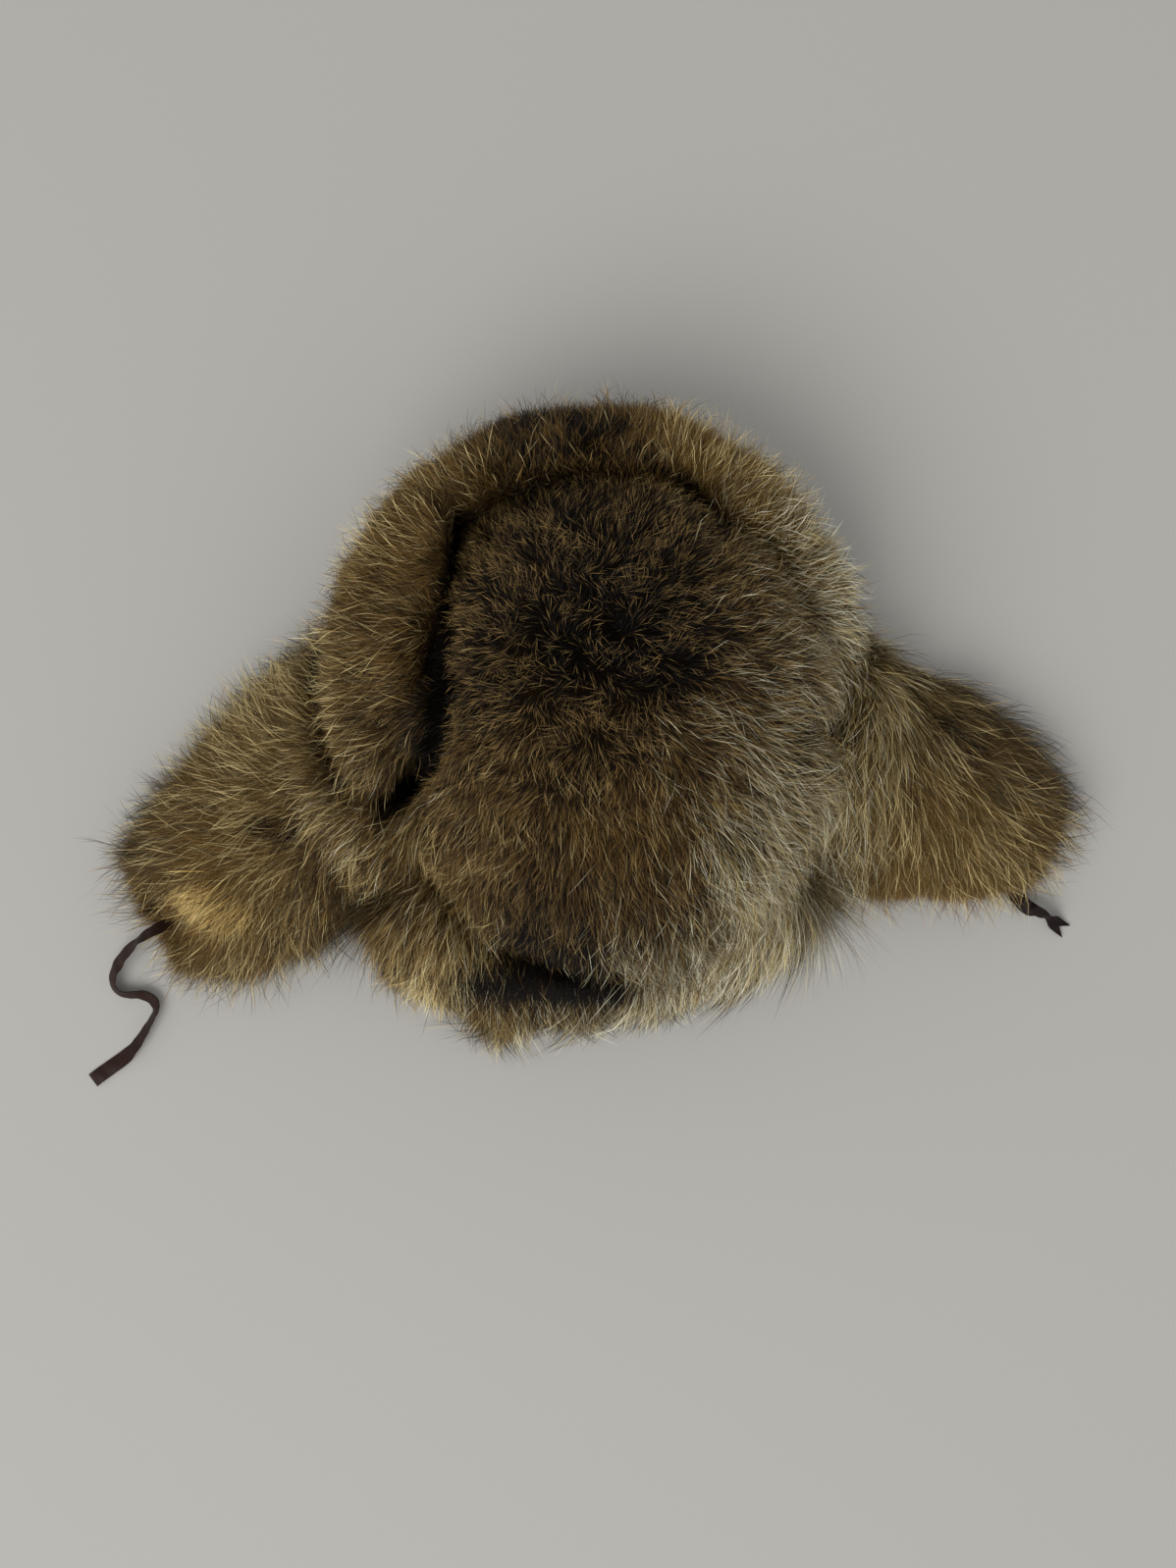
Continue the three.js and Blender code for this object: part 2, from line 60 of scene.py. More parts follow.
# The middle of the head opening on the floor, from which places on the hat are given in millimetres
CROWN = [(low + high) / 2 for low, high in zip(*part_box("crown_wall"))]
MIDDLE = np.array([CROWN[0], CROWN[1], 0.0])

# The camera looks straight down on this place, from this height, with the front of the hat at the top
EYE = np.array([8.0, 28.0])
EYE_HEIGHT = 800.0
VIEW_LENGTH = 767.0

# Kinds of hair in the coat, each with its colour at the root, halfway and at the tip
KINDS = {
    "dorsal": ((0.018, 0.012, 0.008), (0.036, 0.025, 0.016), (0.07, 0.05, 0.031)),
    "agouti": ((0.025, 0.017, 0.01), (0.075, 0.051, 0.029), (0.64, 0.525, 0.325)),
    "brown": ((0.12, 0.08, 0.04), (0.28, 0.21, 0.11), (0.38, 0.295, 0.165)),
    "golden": ((0.20, 0.14, 0.06), (0.38, 0.285, 0.135), (0.48, 0.37, 0.19)),
    "pale": ((0.22, 0.17, 0.095), (0.52, 0.44, 0.28), (0.84, 0.77, 0.56)),
    "grey": ((0.26, 0.21, 0.14), (0.36, 0.32, 0.23), (0.14, 0.11, 0.08)),
    "silver": ((0.32, 0.29, 0.20), (0.64, 0.61, 0.49), (0.92, 0.91, 0.82)),
    # shine is a painted highlight, given as a kind of pale gold hair
    "shine": ((0.50, 0.38, 0.18), (0.74, 0.61, 0.34), (0.92, 0.81, 0.54)),
}

# The coat seen from above: place in millimetres, heading in degrees, length, lift, and the shares of the
# kinds dorsal, agouti, brown, golden, pale, grey and silver
COAT = [
    # Crown, from the swirl outwards
    (8, -48, -90, 13, 34, (0.7, 0.26, 0.04, 0, 0, 0, 0)),
    (-36, -48, -169, 13, 34, (0.6, 0.34, 0.06, 0, 0, 0, 0)),
    (8, -101, -90, 14, 30, (0.5, 0.4, 0.1, 0, 0, 0, 0)),
    (-36, -87, -127, 14, 30, (0.4, 0.45, 0.15, 0, 0, 0, 0)),
    (56, -68, -29, 14, 30, (0.28, 0.52, 0.2, 0, 0, 0, 0)),
    (65, -20, 11, 14, 30, (0.3, 0.5, 0.2, 0, 0, 0, 0)),
    (-74, -68, -163, 15, 30, (0.06, 0.38, 0.34, 0.09, 0.09, 0, 0.04)),
    (-84, -20, 163, 16, 30, (0.08, 0.4, 0.36, 0.05, 0.06, 0, 0.05)),
    (8, 9, 84, 14, 32, (0.25, 0.5, 0.25, 0, 0, 0, 0)),
    (56, 24, 53, 15, 30, (0.06, 0.38, 0.34, 0.18, 0.04, 0, 0)),
    (-12, 52, 93, 18, 28, (0.02, 0.16, 0.36, 0.38, 0.08, 0, 0)),
    (65, 62, 60, 19, 28, (0.03, 0.2, 0.36, 0.29, 0.12, 0, 0)),
    (-60, 28, 120, 18, 28, (0.04, 0.28, 0.4, 0.16, 0.05, 0, 0.07)),
    (27, 88, 81, 20, 26, (0.22, 0.25, 0.42, 0.11, 0, 0, 0)),
    (34, 111, 84, 17, 20, (0.8, 0.16, 0.04, 0, 0, 0, 0)),
    (-26, 86, 96, 20, 26, (0.1, 0.25, 0.45, 0.15, 0.03, 0, 0.02)),
    # Turned up front, from the left flap round to the right flap
    (117, 28, 53, 26, 24, (0.04, 0.15, 0.44, 0.12, 0.12, 0.09, 0.04)),
    (120, 2, 30, 27, 24, (0.22, 0.28, 0.38, 0.02, 0.02, 0.08, 0)),
    (113, -36, 5, 26, 28, (0.05, 0.12, 0.46, 0.19, 0.14, 0.04, 0)),
    (107, -72, -18, 26, 30, (0.01, 0.06, 0.38, 0.28, 0.22, 0.05, 0)),
    (99, -101, -30, 26, 30, (0.01, 0.05, 0.3, 0.32, 0.26, 0.06, 0)),
    (84, -125, -45, 26, 30, (0.02, 0.05, 0.28, 0.32, 0.25, 0.08, 0)),
    (60, -140, -60, 25, 30, (0.12, 0.1, 0.33, 0.2, 0.12, 0.13, 0)),
    (36, -149, -78, 25, 30, (0.3, 0.12, 0.28, 0.12, 0.05, 0.13, 0)),
    (8, -148, -90, 25, 30, (0.28, 0.18, 0.32, 0.15, 0.02, 0.05, 0)),
    (8, -164, -90, 24, 28, (0.05, 0.05, 0.3, 0.34, 0.11, 0.15, 0)),
    (-21, -152, -99, 25, 30, (0.08, 0.06, 0.3, 0.38, 0.14, 0.04, 0)),
    (-50, -142, -114, 26, 30, (0.01, 0.01, 0.07, 0.45, 0.46, 0, 0)),
    (-81, -120, -131, 26, 30, (0.01, 0.02, 0.1, 0.42, 0.38, 0.01, 0.06)),
    (-105, -94, -150, 26, 30, (0.03, 0.07, 0.2, 0.12, 0.25, 0.02, 0.31)),
    (-117, -68, -174, 26, 28, (0.03, 0.07, 0.2, 0.04, 0.22, 0.02, 0.42)),
    (-121, -44, 143, 26, 26, (0.02, 0.07, 0.24, 0.06, 0.28, 0.02, 0.31)),
    # Left ear flap
    (135, -20, -16, 30, 24, (0.01, 0.03, 0.36, 0.16, 0.28, 0.16, 0)),
    (152, 2, -69, 36, 24, (0, 0.02, 0.3, 0.32, 0.34, 0.02, 0)),
    (178, 0, -60, 34, 22, (0, 0.02, 0.3, 0.3, 0.28, 0.1, 0)),
    (202, 24, -30, 32, 20, (0, 0.02, 0.36, 0.28, 0.22, 0.12, 0)),
    (224, 43, -15, 30, 18, (0.02, 0.04, 0.42, 0.08, 0.06, 0.38, 0)),
    (228, 76, 9, 30, 18, (0.02, 0.04, 0.46, 0.14, 0.06, 0.28, 0)),
    (209, 105, 43, 30, 18, (0, 0.02, 0.36, 0.36, 0.12, 0.14, 0)),
    (178, 117, 63, 32, 18, (0, 0.02, 0.36, 0.3, 0.18, 0.14, 0)),
    (152, 105, 76, 34, 20, (0, 0.05, 0.42, 0.18, 0.18, 0.17, 0)),
    (132, 86, 84, 32, 22, (0.1, 0.22, 0.42, 0.02, 0.06, 0.18, 0)),
    (135, 52, 39, 34, 22, (0.05, 0.16, 0.36, 0.06, 0.18, 0.16, 0.03)),
    (143, 28, 12, 36, 22, (0.02, 0.06, 0.34, 0.06, 0.4, 0.12, 0)),
    (164, 45, 6, 30, 14, (0, 0.03, 0.32, 0.34, 0.31, 0, 0)),
    (184, 52, 21, 34, 18, (0, 0.03, 0.46, 0.4, 0.11, 0, 0)),
    (195, 76, 34, 34, 16, (0, 0, 0.2, 0.6, 0.2, 0, 0)),
    (171, 84, 66, 34, 18, (0, 0.03, 0.4, 0.44, 0.13, 0, 0)),
    # Right ear flap
    (-120, -12, 39, 32, 24, (0.01, 0.05, 0.28, 0.12, 0.38, 0, 0.16)),
    (-144, -22, 155, 34, 24, (0, 0, 0.1, 0.32, 0.58, 0, 0)),
    (-165, -41, 167, 30, 20, (0.02, 0.04, 0.36, 0.04, 0.12, 0.42, 0)),
    (-112, 28, 83, 36, 24, (0.04, 0.08, 0.36, 0.08, 0.34, 0.02, 0.08)),
    (-134, 19, 93, 38, 24, (0.02, 0.05, 0.4, 0.2, 0.3, 0.01, 0.02)),
    (-153, 24, 110, 36, 22, (0.04, 0.08, 0.46, 0.26, 0.16, 0, 0)),
    (-177, 9, 150, 34, 20, (0.06, 0.08, 0.46, 0.08, 0.08, 0.24, 0)),
    (-201, 12, 158, 32, 18, (0.04, 0.06, 0.44, 0.02, 0.04, 0.4, 0)),
    (-218, 36, 160, 30, 18, (0.06, 0.08, 0.42, 0.02, 0.02, 0.4, 0)),
    (-214, 60, 150, 32, 18, (0.01, 0.03, 0.38, 0.2, 0.16, 0.22, 0)),
    (-189, 52, 139, 36, 18, (0, 0.01, 0.22, 0.46, 0.3, 0.01, 0)),
    (-160, 57, 113, 38, 20, (0.01, 0.04, 0.42, 0.32, 0.19, 0.02, 0)),
    (-127, 62, 84, 38, 20, (0.01, 0.04, 0.42, 0.34, 0.17, 0.02, 0)),
    (-151, 79, 99, 32, 16, (0, 0.02, 0.46, 0.44, 0.06, 0.02, 0)),
    (-184, 79, 120, 30, 16, (0, 0, 0.3, 0.52, 0.14, 0.04, 0)),
    (-105, 67, 72, 34, 20, (0.01, 0.02, 0.3, 0.22, 0.2, 0.02, 0.23)),
    # Lower fur round the back, from the right side to the left
    (-96, -10, 81, 26, 24, (0.03, 0.16, 0.38, 0.04, 0.15, 0, 0.24)),
    (-88, 36, 76, 30, 24, (0, 0.03, 0.2, 0.08, 0.31, 0, 0.38)),
    (-79, 74, 72, 32, 22, (0, 0.01, 0.08, 0.12, 0.41, 0, 0.38)),
    (-72, 108, 76, 30, 20, (0, 0.02, 0.24, 0.24, 0.22, 0.04, 0.24)),
    (-40, 120, 84, 28, 20, (0.04, 0.06, 0.36, 0.06, 0.06, 0.2, 0.22)),
    (-12, 137, 90, 33, 18, (0.01, 0.01, 0.08, 0.24, 0.32, 0.02, 0.32)),
    (27, 142, 87, 34, 18, (0.01, 0.01, 0.08, 0.28, 0.34, 0.02, 0.26)),
    (56, 144, 78, 33, 18, (0.08, 0.08, 0.26, 0.22, 0.22, 0.14, 0)),
    (77, 117, 72, 30, 24, (0.01, 0.01, 0.06, 0.36, 0.5, 0, 0.06)),
    (92, 104, 72, 28, 22, (0.28, 0.36, 0.34, 0, 0, 0.02, 0)),
    (111, 86, 67, 28, 22, (0.08, 0.22, 0.44, 0.12, 0.08, 0.04, 0.02)),
    (104, 62, 53, 24, 24, (0.06, 0.22, 0.42, 0.16, 0.12, 0, 0.02)),
    (24, 124, 87, 20, 16, (0.85, 0.1, 0.05, 0, 0, 0, 0)),
]

# Dark stripes and folds seen from above, painted as dark hair: partly real dark hair and partly painted shade
# in the folds, seams and hollows. Half width, share of dark hair and painted shade, and the line along the
# middle
DARK_HAIR_AND_SHADE_STRIPES = [
    # over the front
    (2.9, 0.62, [(56, -129), (34, -136), (8, -139), (-16, -135), (-36, -124), (-49, -109), (-59, -92)]),
    # along the front
    (3.4, 0.72, [(53, -143), (27, -149), (-8, -146)]),
    # fold left of the crown
    (4.8, 0.78, [(71, -101), (75, -72), (78, -48), (79, -24)]),
    # foot of that fold
    (8.2, 0.97, [(80, -36), (81, -5), (86, 16), (97, 31), (105, 39)]),
    # fold at the back
    (7.7, 0.94, [(67, 124), (36, 124), (8, 125), (-13, 124)]),
    # tips below the fold
    (4.3, 0.4, [(66, 139), (53, 151)]),
    # seam at the left
    (3.8, 0.05, [(116, 52), (111, 79), (84, 100), (60, 106)]),
    # seam at the back
    (4.8, 0.4, [(46, 105), (8, 111), (-36, 93)]),
    # seam at the right
    (3.8, 0.4, [(-36, 93), (-62, 69), (-88, 26), (-99, -3)]),
    # hollow of the left flap
    (3.8, 0.75, [(170, 49), (152, 52)]),
    # hollow of the right flap
    (3.4, 0.75, [(-106, 0), (-118, 3)]),
    # dark streak of the right flap
    (3.8, 0.6, [(-163, -3), (-177, 12)]),
]

# A place where the coat is drawn out thin and catches the light, painted as pale gold hair: a painted
# highlight. Half width, share and line
SHINE = [
    (2.6, 0.66, [(203, 80), (197, 87), (190, 92), (181, 94)]),
    (7.0, 0.42, [(203, 80), (190, 92), (178, 92)]),
]

# Routes of the tie ribbons along the floor, from the flap's tip to the cut end
LEFT_TIE = [
    (203, 90), (207.4, 92.8), (211.8, 95.5), (215.6, 97.4), (219.2, 99.2), (222.8, 101.2), (226.2, 103.6),
    (229.4, 106.4), (232.4, 109.4), (235, 112.6), (237.2, 116), (238.9, 119.4), (239.8, 123), (239.2, 127),
    (236.2, 130), (232, 130.9), (227.6, 130.8), (223.2, 131.6), (219.8, 134), (218.6, 138), (220.4, 142.4),
    (222.8, 146.6), (225.2, 150.6), (227.8, 154.6), (230.8, 158.3), (234.6, 161.8), (239.2, 165.2),
    (244.6, 169), (250, 173),
]
RIGHT_TIE = [
    (-189, 67), (-191.6, 70.2), (-194.1, 73.4), (-196.2, 76.2), (-198.4, 79), (-200.8, 81.8),
    (-203.2, 84.9), (-205.6, 87.4), (-208.4, 89.2), (-211.2, 90.2), (-213.8, 91.6), (-216.2, 93.1),
    (-218.6, 94.7), (-221, 96.6), (-223.4, 98.4), (-225.8, 100.2),
]
# How each ribbon turns on its edge along its route: share of the length, degrees
LEFT_TURNS = [
    (0.0, 35), (0.14, 50), (0.21, 62), (0.27, 45), (0.34, 38), (0.43, 58), (0.49, 64), (0.55, 45),
    (0.60, 38), (0.65, 60), (0.70, 58), (0.76, 48), (0.82, 34), (0.88, 12), (1.0, 4),
]
RIGHT_TURNS = [(0.0, 60), (0.35, 30), (0.50, 14), (0.64, 38), (0.74, 58), (0.82, 30), (1.0, 12)]

# How high the middle of each ribbon lies over the floor along its route: share of the length, millimetres
LEFT_LIE = [
    (0.0, 8.0), (0.06, 13.0), (0.11, 16.0), (0.20, 14.0), (0.30, 8.0), (0.38, 3.0), (0.45, 0.0), (1.0, 0.0),
]
RIGHT_LIE = [(0.0, 1.5), (0.30, 2.0), (0.48, 4.5), (0.60, 5.0), (0.75, 3.0), (0.88, 1.0), (1.0, 0.4)]

# Folds that stay open, seen from above: half width, how far each stays open and the line along the middle.
# In turn they are the one left of the crown, its foot, the one at the back, the hollow of the right flap and
# the one between the crown and the front
FOLDS = [
    (5.5, 0.95, [(71, -101), (76, -72), (79, -39), (80, -18)]),
    (8.5, 1.0, [(80, -30), (80, -5), (86, 16), (98, 31)]),
    (6.0, 0.8, [(66, 119), (42, 124), (8, 126), (-13, 123)]),
    (4.5, 0.8, [(-100, -1), (-118, 3)]),
    (4.5, 0.25, [(55, -124), (27, -134), (-2, -133), (-26, -125), (-43, -111), (-57, -87)]),
]

# The tie ribbons: node, route, turns and lie, the setting with their colour, how deep the end is notched in
# millimetres, how crumpled they are, the seed of their creases, the share of the length from which no hair
# covers them, and the stretch of the route's steps along which they press the fur down
RIBBONS = {
    "left_ribbon": {
        "node": "ribbon_left", "route": LEFT_TIE, "turns": LEFT_TURNS, "lie": LEFT_LIE,
        "colour": "left_colour", "notch": 0.0, "crumple": 0.06, "seed": 31, "bare_from": 0.16,
        "presses": (30, 170),
    },
    "right_ribbon": {
        "node": "ribbon_right", "route": RIGHT_TIE, "turns": RIGHT_TURNS, "lie": RIGHT_LIE,
        "colour": "right_colour", "notch": 4.5, "crumple": 0.30, "seed": 32, "bare_from": 0.56,
        "presses": (190, 280),
    },
}

# A ribbon's route is read in this many steps. The fur is pressed down at every sixth of them, and hairs that
# cover the ribbon are looked for at every eighth
ROUTE_STEPS = 400
PRESS_STEP = 6
COVER_STEP = 8

# How high a ribbon's middle lies at least, the columns and rows of its grid and the points of its path, then
# in millimetres how far apart its cross threads and its creases are, and how far it stays over the floor
RIBBON_LIFT = 0.6
RIBBON_COLUMNS = 130
RIBBON_ROWS = 6
THREAD_PITCH = 0.42
CREASE_LENGTH = 9.0
RIBBON_CLEARANCE = 0.3

# How far round a ribbon the fur is pressed down, how far under it, and how steeply it rises from there
PRESS_REACH = 22.0
PRESS_ROOM = 1.2
PRESS_HALF = 3.0
PRESS_SLOPE = 0.9

# How near to a ribbon's middle a hair covers it, how far below its middle, how many of these are left out,
# and how far round the ribbon they are looked for
COVER_REACH = 4.4
COVER_BELOW = 1.5
COVER_SHARE = 0.93
COVER_ROUND = 90.0

# The underfur of each fur piece: its slot, and in millimetres how far it lies inside the solid, the grid that
# it is made anew on, and the gaps between locks that are closed, with how often it is smoothed
UNDERFURS = {
    "crown_fur": {"slot": "dark_fur", "sink": 2.5, "grid": 5.2, "closing": 4.0, "rounds": 10},
    "front_visor": {"slot": "brown_fur", "sink": 4.0, "grid": 4.4, "closing": 4.0, "rounds": 14},
    "ear_flap_left": {"slot": "golden_fur", "sink": 5.0, "grid": 4.2, "closing": 4.0, "rounds": 34},
    "ear_flap_right": {"slot": "golden_fur", "sink": 6.0, "grid": 4.2, "closing": 4.0, "rounds": 24},
    "neck_flap": {"slot": "brown_fur", "sink": 2.5, "grid": 4.2, "closing": 7.0, "rounds": 30},
}
FIRST_GRID = 2.6
LAST_ROUNDS = 3

# The underfur's colour is this share of its hair's: painted shade, as it lies deep
UNDERFUR_PAINTED_SHADE = 0.55

# How far the underfur fills the folds between pieces, how far it stands back where a fold stays open, and how
# far it is filled out at the roots of the ear flaps and low beside the front
FILL = 4.0
FOLD_BACK = 4.5
CREVICE_BACK = 4.0
FLAP_ROOT_FILL = 8.0
VISOR_SIDE_FILL = 4.0

# How far the left end of the turned up front reaches over the crevice beside the crown, as in the photograph,
# how much less it does so towards its end, and how far that end reaches back
REACH_IN = 16.0
REACH_IN_LESS = 8.0
REACH_BACK = 11.0

# A lock's tip on the left flap that would stand out of the underfur as a ball, and where it is pulled in to
LONE_TIP = 226.0
LONE_TIP_TO = 221.0

# Middle of the fur round the crown, the place that the crown's hair grows away from, seen from above, and how
# far round it the hair is ruffled
CROWN_HEART = np.array([0.0, -10.0])
SWIRL = np.array([10.0, -40.0])
SWIRL_REACH = 34.0

# Layers of hair. Lengths are shares of the coat's, widths of the hair width in the settings, and the rest
# says how much each hair swings aside, rises, falls over, curls and differs from its neighbours
UNDER = {
    "segments": 1, "length": 0.42, "width": 0.54, "uneven": 0.3, "swing": 0.38, "ruffle": 0.15, "fall": 0.5,
    "curl": 0.0, "sag": 0.03, "roll": 0.6, "lock": 60, "gather": 0, "sink": 1.2, "tone": 0.07, "tuft": 0.12,
    "dim": 0.0,
}
GUARD = {
    "segments": 3, "length": 0.95, "width": 0.21, "uneven": 0.42, "swing": 0.46, "ruffle": 0.17, "fall": 1.2,
    "curl": 0.5, "sag": 0.04, "roll": 0.9, "lock": 8, "gather": 0.34, "sink": 0.4, "tone": 0.28, "tuft": 0.05,
    "dim": 0.0,
}

# The hair of each fur piece: its name, how many short and long hairs, the seed of its chances, and where its
# layers differ from the usual ones
HAIRS = {
    "crown_fur": {
        "name": "crown_hair", "counts": (64000, 38000), "seed": 101,
        "under": {"length": 0.60, "ruffle": 0.22, "width": 0.50, "tuft": 0.24, "tone": 0.18, "dim": 0.17},
        "guards": {
            "segments": 2, "length": 0.96, "width": 0.18, "lock": 7, "curl": 0.22, "swing": 0.34,
            "tuft": 0.22,
        },
    },
    "front_visor": {
        "name": "front_visor_hair", "counts": (112000, 13500), "seed": 102, "under": {"length": 0.46},
        "guards": {},
    },
    "ear_flap_left": {
        "name": "ear_flap_left_hair", "counts": (122000, 10000), "seed": 103, "under": {}, "guards": {},
    },
    "ear_flap_right": {
        "name": "ear_flap_right_hair", "counts": (122000, 10000), "seed": 104, "under": {}, "guards": {},
    },
    "neck_flap": {
        "name": "neck_flap_hair", "counts": (98000, 16500), "seed": 105, "under": {"length": 0.66},
        "guards": {"length": 1.14, "curl": 0.2, "swing": 0.38},
    },
}
GUARD_SEED = 50

# The long hairs are chosen from this many times as many places, and fewer of them grow in an open fold
GUARD_CHOICE = 3
FOLD_THINNING = 0.45

# Shares of each kind of hair that are short underfur and long guard hair
UNDER_SHARES = np.array([1.0, 0.40, 1.0, 1.0, 0.22, 0.20, 0.45, 1.0])
GUARD_SHARES = np.array([0.25, 1.0, 0.12, 0.20, 1.0, 0.9, 1.0, 0.2])
# How the shares of the guard hair change towards the outer edge, where dark tips are seen against the floor
RIM_GUARDS = np.array([5.0, -0.3, 0.2, -0.5, -0.85, 7.0, -0.7, 0.0])

# A hair's width from its root to its tip, as stops and shares, and half its width on the map as a share of
# its kind's
TAPER_STOPS = [0, 0.3, 0.75, 1]
TAPER = [0.7, 1.0, 0.85, 0.0]
CARD_WIDTH = 0.02

# The floor, and the large soft light with the place it shines at, in metres
FLOOR_SIZE = 8
KEY_SIZE = 2.4
KEY_PLACE = (1.2, 1.6, 2.4)
KEY_AIM = Vector((0, 0, 0.05))

BODY = "root"
FLOOR_CLEARANCE = 0.4
SEED = 20
HAIR_MAP = "OFBake"
TINT = "tint"
UNDERFUR_END = "_underfur"


def colour_setting(name, description, default):
    """A colour setting"""
    return bpy.props.FloatVectorProperty(
        name=name, description=description, default=default, subtype="COLOR_GAMMA", size=3, min=0, max=1,
    )


def length_setting(name, description, default, low, high):
    """A length setting, given in millimetres"""
    return bpy.props.FloatProperty(
        name=name, description=description, default=default * MM, min=low * MM, max=high * MM, precision=5,
        unit="LENGTH",
    )


def factor_setting(name, description, default, low, high):
    """A setting that multiplies something"""
    return bpy.props.FloatProperty(
        name=name, description=description, default=default, min=low, max=high, subtype="FACTOR",
    )


class HatCoat(bpy.types.PropertyGroup):
    """Colours and measures of the fur"""

    density: factor_setting("Density", "Multiplies the number of hairs in every piece", 1.0, 0.05, 1.0)
    thickness: length_setting("Hair width", "Width that the layers of hair have shares of", 1.0, 0.1, 2)
    brightness: factor_setting("Brightness", "Multiplies the colours of the hair", 1.0, 0.2, 3)


for _kind, _colours in KINDS.items():
    for _stage, _colour in zip(("root", "middle", "tip"), _colours):
        HatCoat.__annotations__[f"{_kind}_{_stage}"] = colour_setting(
            f"{_kind.capitalize()} {_stage}", f"Colour of the {_kind} hair at its {_stage}", _colour,
        )


class HatRibbon(bpy.types.PropertyGroup):
    """Measures and colours of the tie ribbons"""

    width: length_setting("Width", "Width of the ribbon laid flat", 7.2, 2, 20)
    thickness: length_setting("Thickness", "Thickness of the woven ribbon", 0.45, 0.1, 2)
    left_colour: colour_setting("Left ribbon", "Colour of the left ribbon", (0.15, 0.082, 0.056))
    right_colour: colour_setting("Right ribbon", "Colour of the right ribbon", (0.075, 0.022, 0.024))


class HatStudio(bpy.types.PropertyGroup):
    """The floor and the light"""

    floor_colour: colour_setting("Floor", "Colour of the plain floor", (0.675, 0.67, 0.655))
    key_power: bpy.props.FloatProperty(
        name="Key light",
        description="Power of the large soft light behind the hat's left flap",
        default=60.0,
        min=0,
        max=200,
        unit="POWER",
    )
    fill: factor_setting("Fill", "Strength of the light from all round", 0.66, 0, 4)


def linear(colour):
    """A screen colour as the linear colour that a shader takes, with full alpha"""
    return tuple(c / 12.92 if c <= 0.04045 else ((c + 0.055) / 1.055) ** 2.4 for c in colour) + (1.0,)


def to_frame(points):
    """Places in millimetres round the head opening as places in the CAD frame, in metres"""
    return np.asarray(points, float) * MM + MIDDLE


def to_hat(points):
    """Places in the CAD frame as millimetres round the head opening"""
    return (np.asarray(points, float) - MIDDLE) / MM


def unit(vectors):
    """The vectors, each of length one"""
    return vectors / np.maximum(np.linalg.norm(vectors, axis=-1, keepdims=True), 1e-9)


def laid(vectors, out):
    """The vectors laid flat on a surface whose outward directions are given"""
    return unit(vectors - out * np.sum(vectors * out, axis=1, keepdims=True))


def seen_from_above(points):
    """Where a place on the hat falls on the floor as the camera sees it, in millimetres"""
    nearer = EYE_HEIGHT / (EYE_HEIGHT - points[:, 2:3])
    return EYE + (points[:, :2] - EYE) * nearer


def smooth(low, high, value):
    """0 below low and 1 above high, eased between them"""
    share = np.clip((value - low) / (high - low), 0, 1)
    return share * share * (3 - 2 * share)


def line_distance(places, line):
    """Distance from each place to a line of points"""
    nearest = np.full(len(places), np.inf)
    for start, end in zip(line, line[1:]):
        start, end = np.array(start, float), np.array(end, float)
        along = end - start
        share = np.clip(((places - start) @ along) / (along @ along), 0, 1)
        nearest = np.minimum(nearest, np.linalg.norm(places - start - share[:, None] * along, axis=1))
    return nearest


def on_stripes(places, stripes, wobble):
    """How far each place lies in the stripes of a table, from 0 to 1"""
    share = np.zeros(len(places))
    for half, strength, line in stripes:
        away = line_distance(places, line) + wobble
        share = np.maximum(share, strength * (1 - smooth(0.55 * half, 1.5 * half, away)))
    return share


COAT_PLACES = np.array([row[:2] for row in COAT], float)
COAT_HEADINGS = np.radians([row[2] for row in COAT])
COAT_LENGTHS = np.array([row[3] for row in COAT], float)
COAT_LIFTS = np.radians([row[4] for row in COAT])
COAT_MIXES = np.array([row[5] + (0,) for row in COAT], float)
COAT_BLUR = 15.0


def read_coat(places, wobble):
    """Heading, length, lift and mix of hair at places seen from above"""
    away = np.sum((places[:, None, :] - COAT_PLACES[None]) ** 2, axis=2)
    away -= away.min(axis=1, keepdims=True)
    weight = np.exp(-away / (2 * COAT_BLUR**2))
    weight /= weight.sum(axis=1, keepdims=True)
    heading = np.stack([weight @ np.cos(COAT_HEADINGS), weight @ np.sin(COAT_HEADINGS)], axis=1)
    mix = weight @ COAT_MIXES
    mix /= mix.sum(axis=1, keepdims=True)
    # The stripes paint dark hair, partly real and partly painted shade in folds, seams and hollows
    dark = on_stripes(places, DARK_HAIR_AND_SHADE_STRIPES, wobble)[:, None]
    mix = mix * (1 - dark)
    mix[:, 0:1] += dark
    # The shine is a painted highlight
    shine = on_stripes(places, SHINE, wobble)[:, None]
    mix = mix * (1 - shine)
    mix[:, -1:] += shine
    return unit(heading), weight @ COAT_LENGTHS, weight @ COAT_LIFTS, mix


def waves(places, scale, seed):
    """A smooth unevenness between about -1 and 1 over places in millimetres"""
    chance = np.random.default_rng(seed)
    total = np.zeros(len(places))
    for _ in range(6):
        way = chance.normal(size=places.shape[1])
        way *= 2 * math.pi / (scale * np.linalg.norm(way) * chance.uniform(0.7, 1.5))
        total += np.sin(places @ way + chance.uniform(0, 2 * math.pi))
    return total / 2.4


def deselect():
    """Nothing is selected and no object is being edited"""
    if bpy.context.object and bpy.context.object.mode != "OBJECT":
        bpy.ops.object.mode_set(mode="OBJECT")
    bpy.ops.object.select_all(action="DESELECT")


def pick(piece):
    """Selects one piece alone and makes it active"""
    deselect()
    piece.select_set(True)
    bpy.context.view_layer.objects.active = piece


def finish_piece(piece, material, replaces=()):
    """Rides the piece on the hat, gives it its material and hides the nodes it stands for"""
    piece.data.materials.clear()
    piece.data.materials.append(material)
    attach(piece, BODY)
    if replaces:
        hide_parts(*replaces)
    return piece


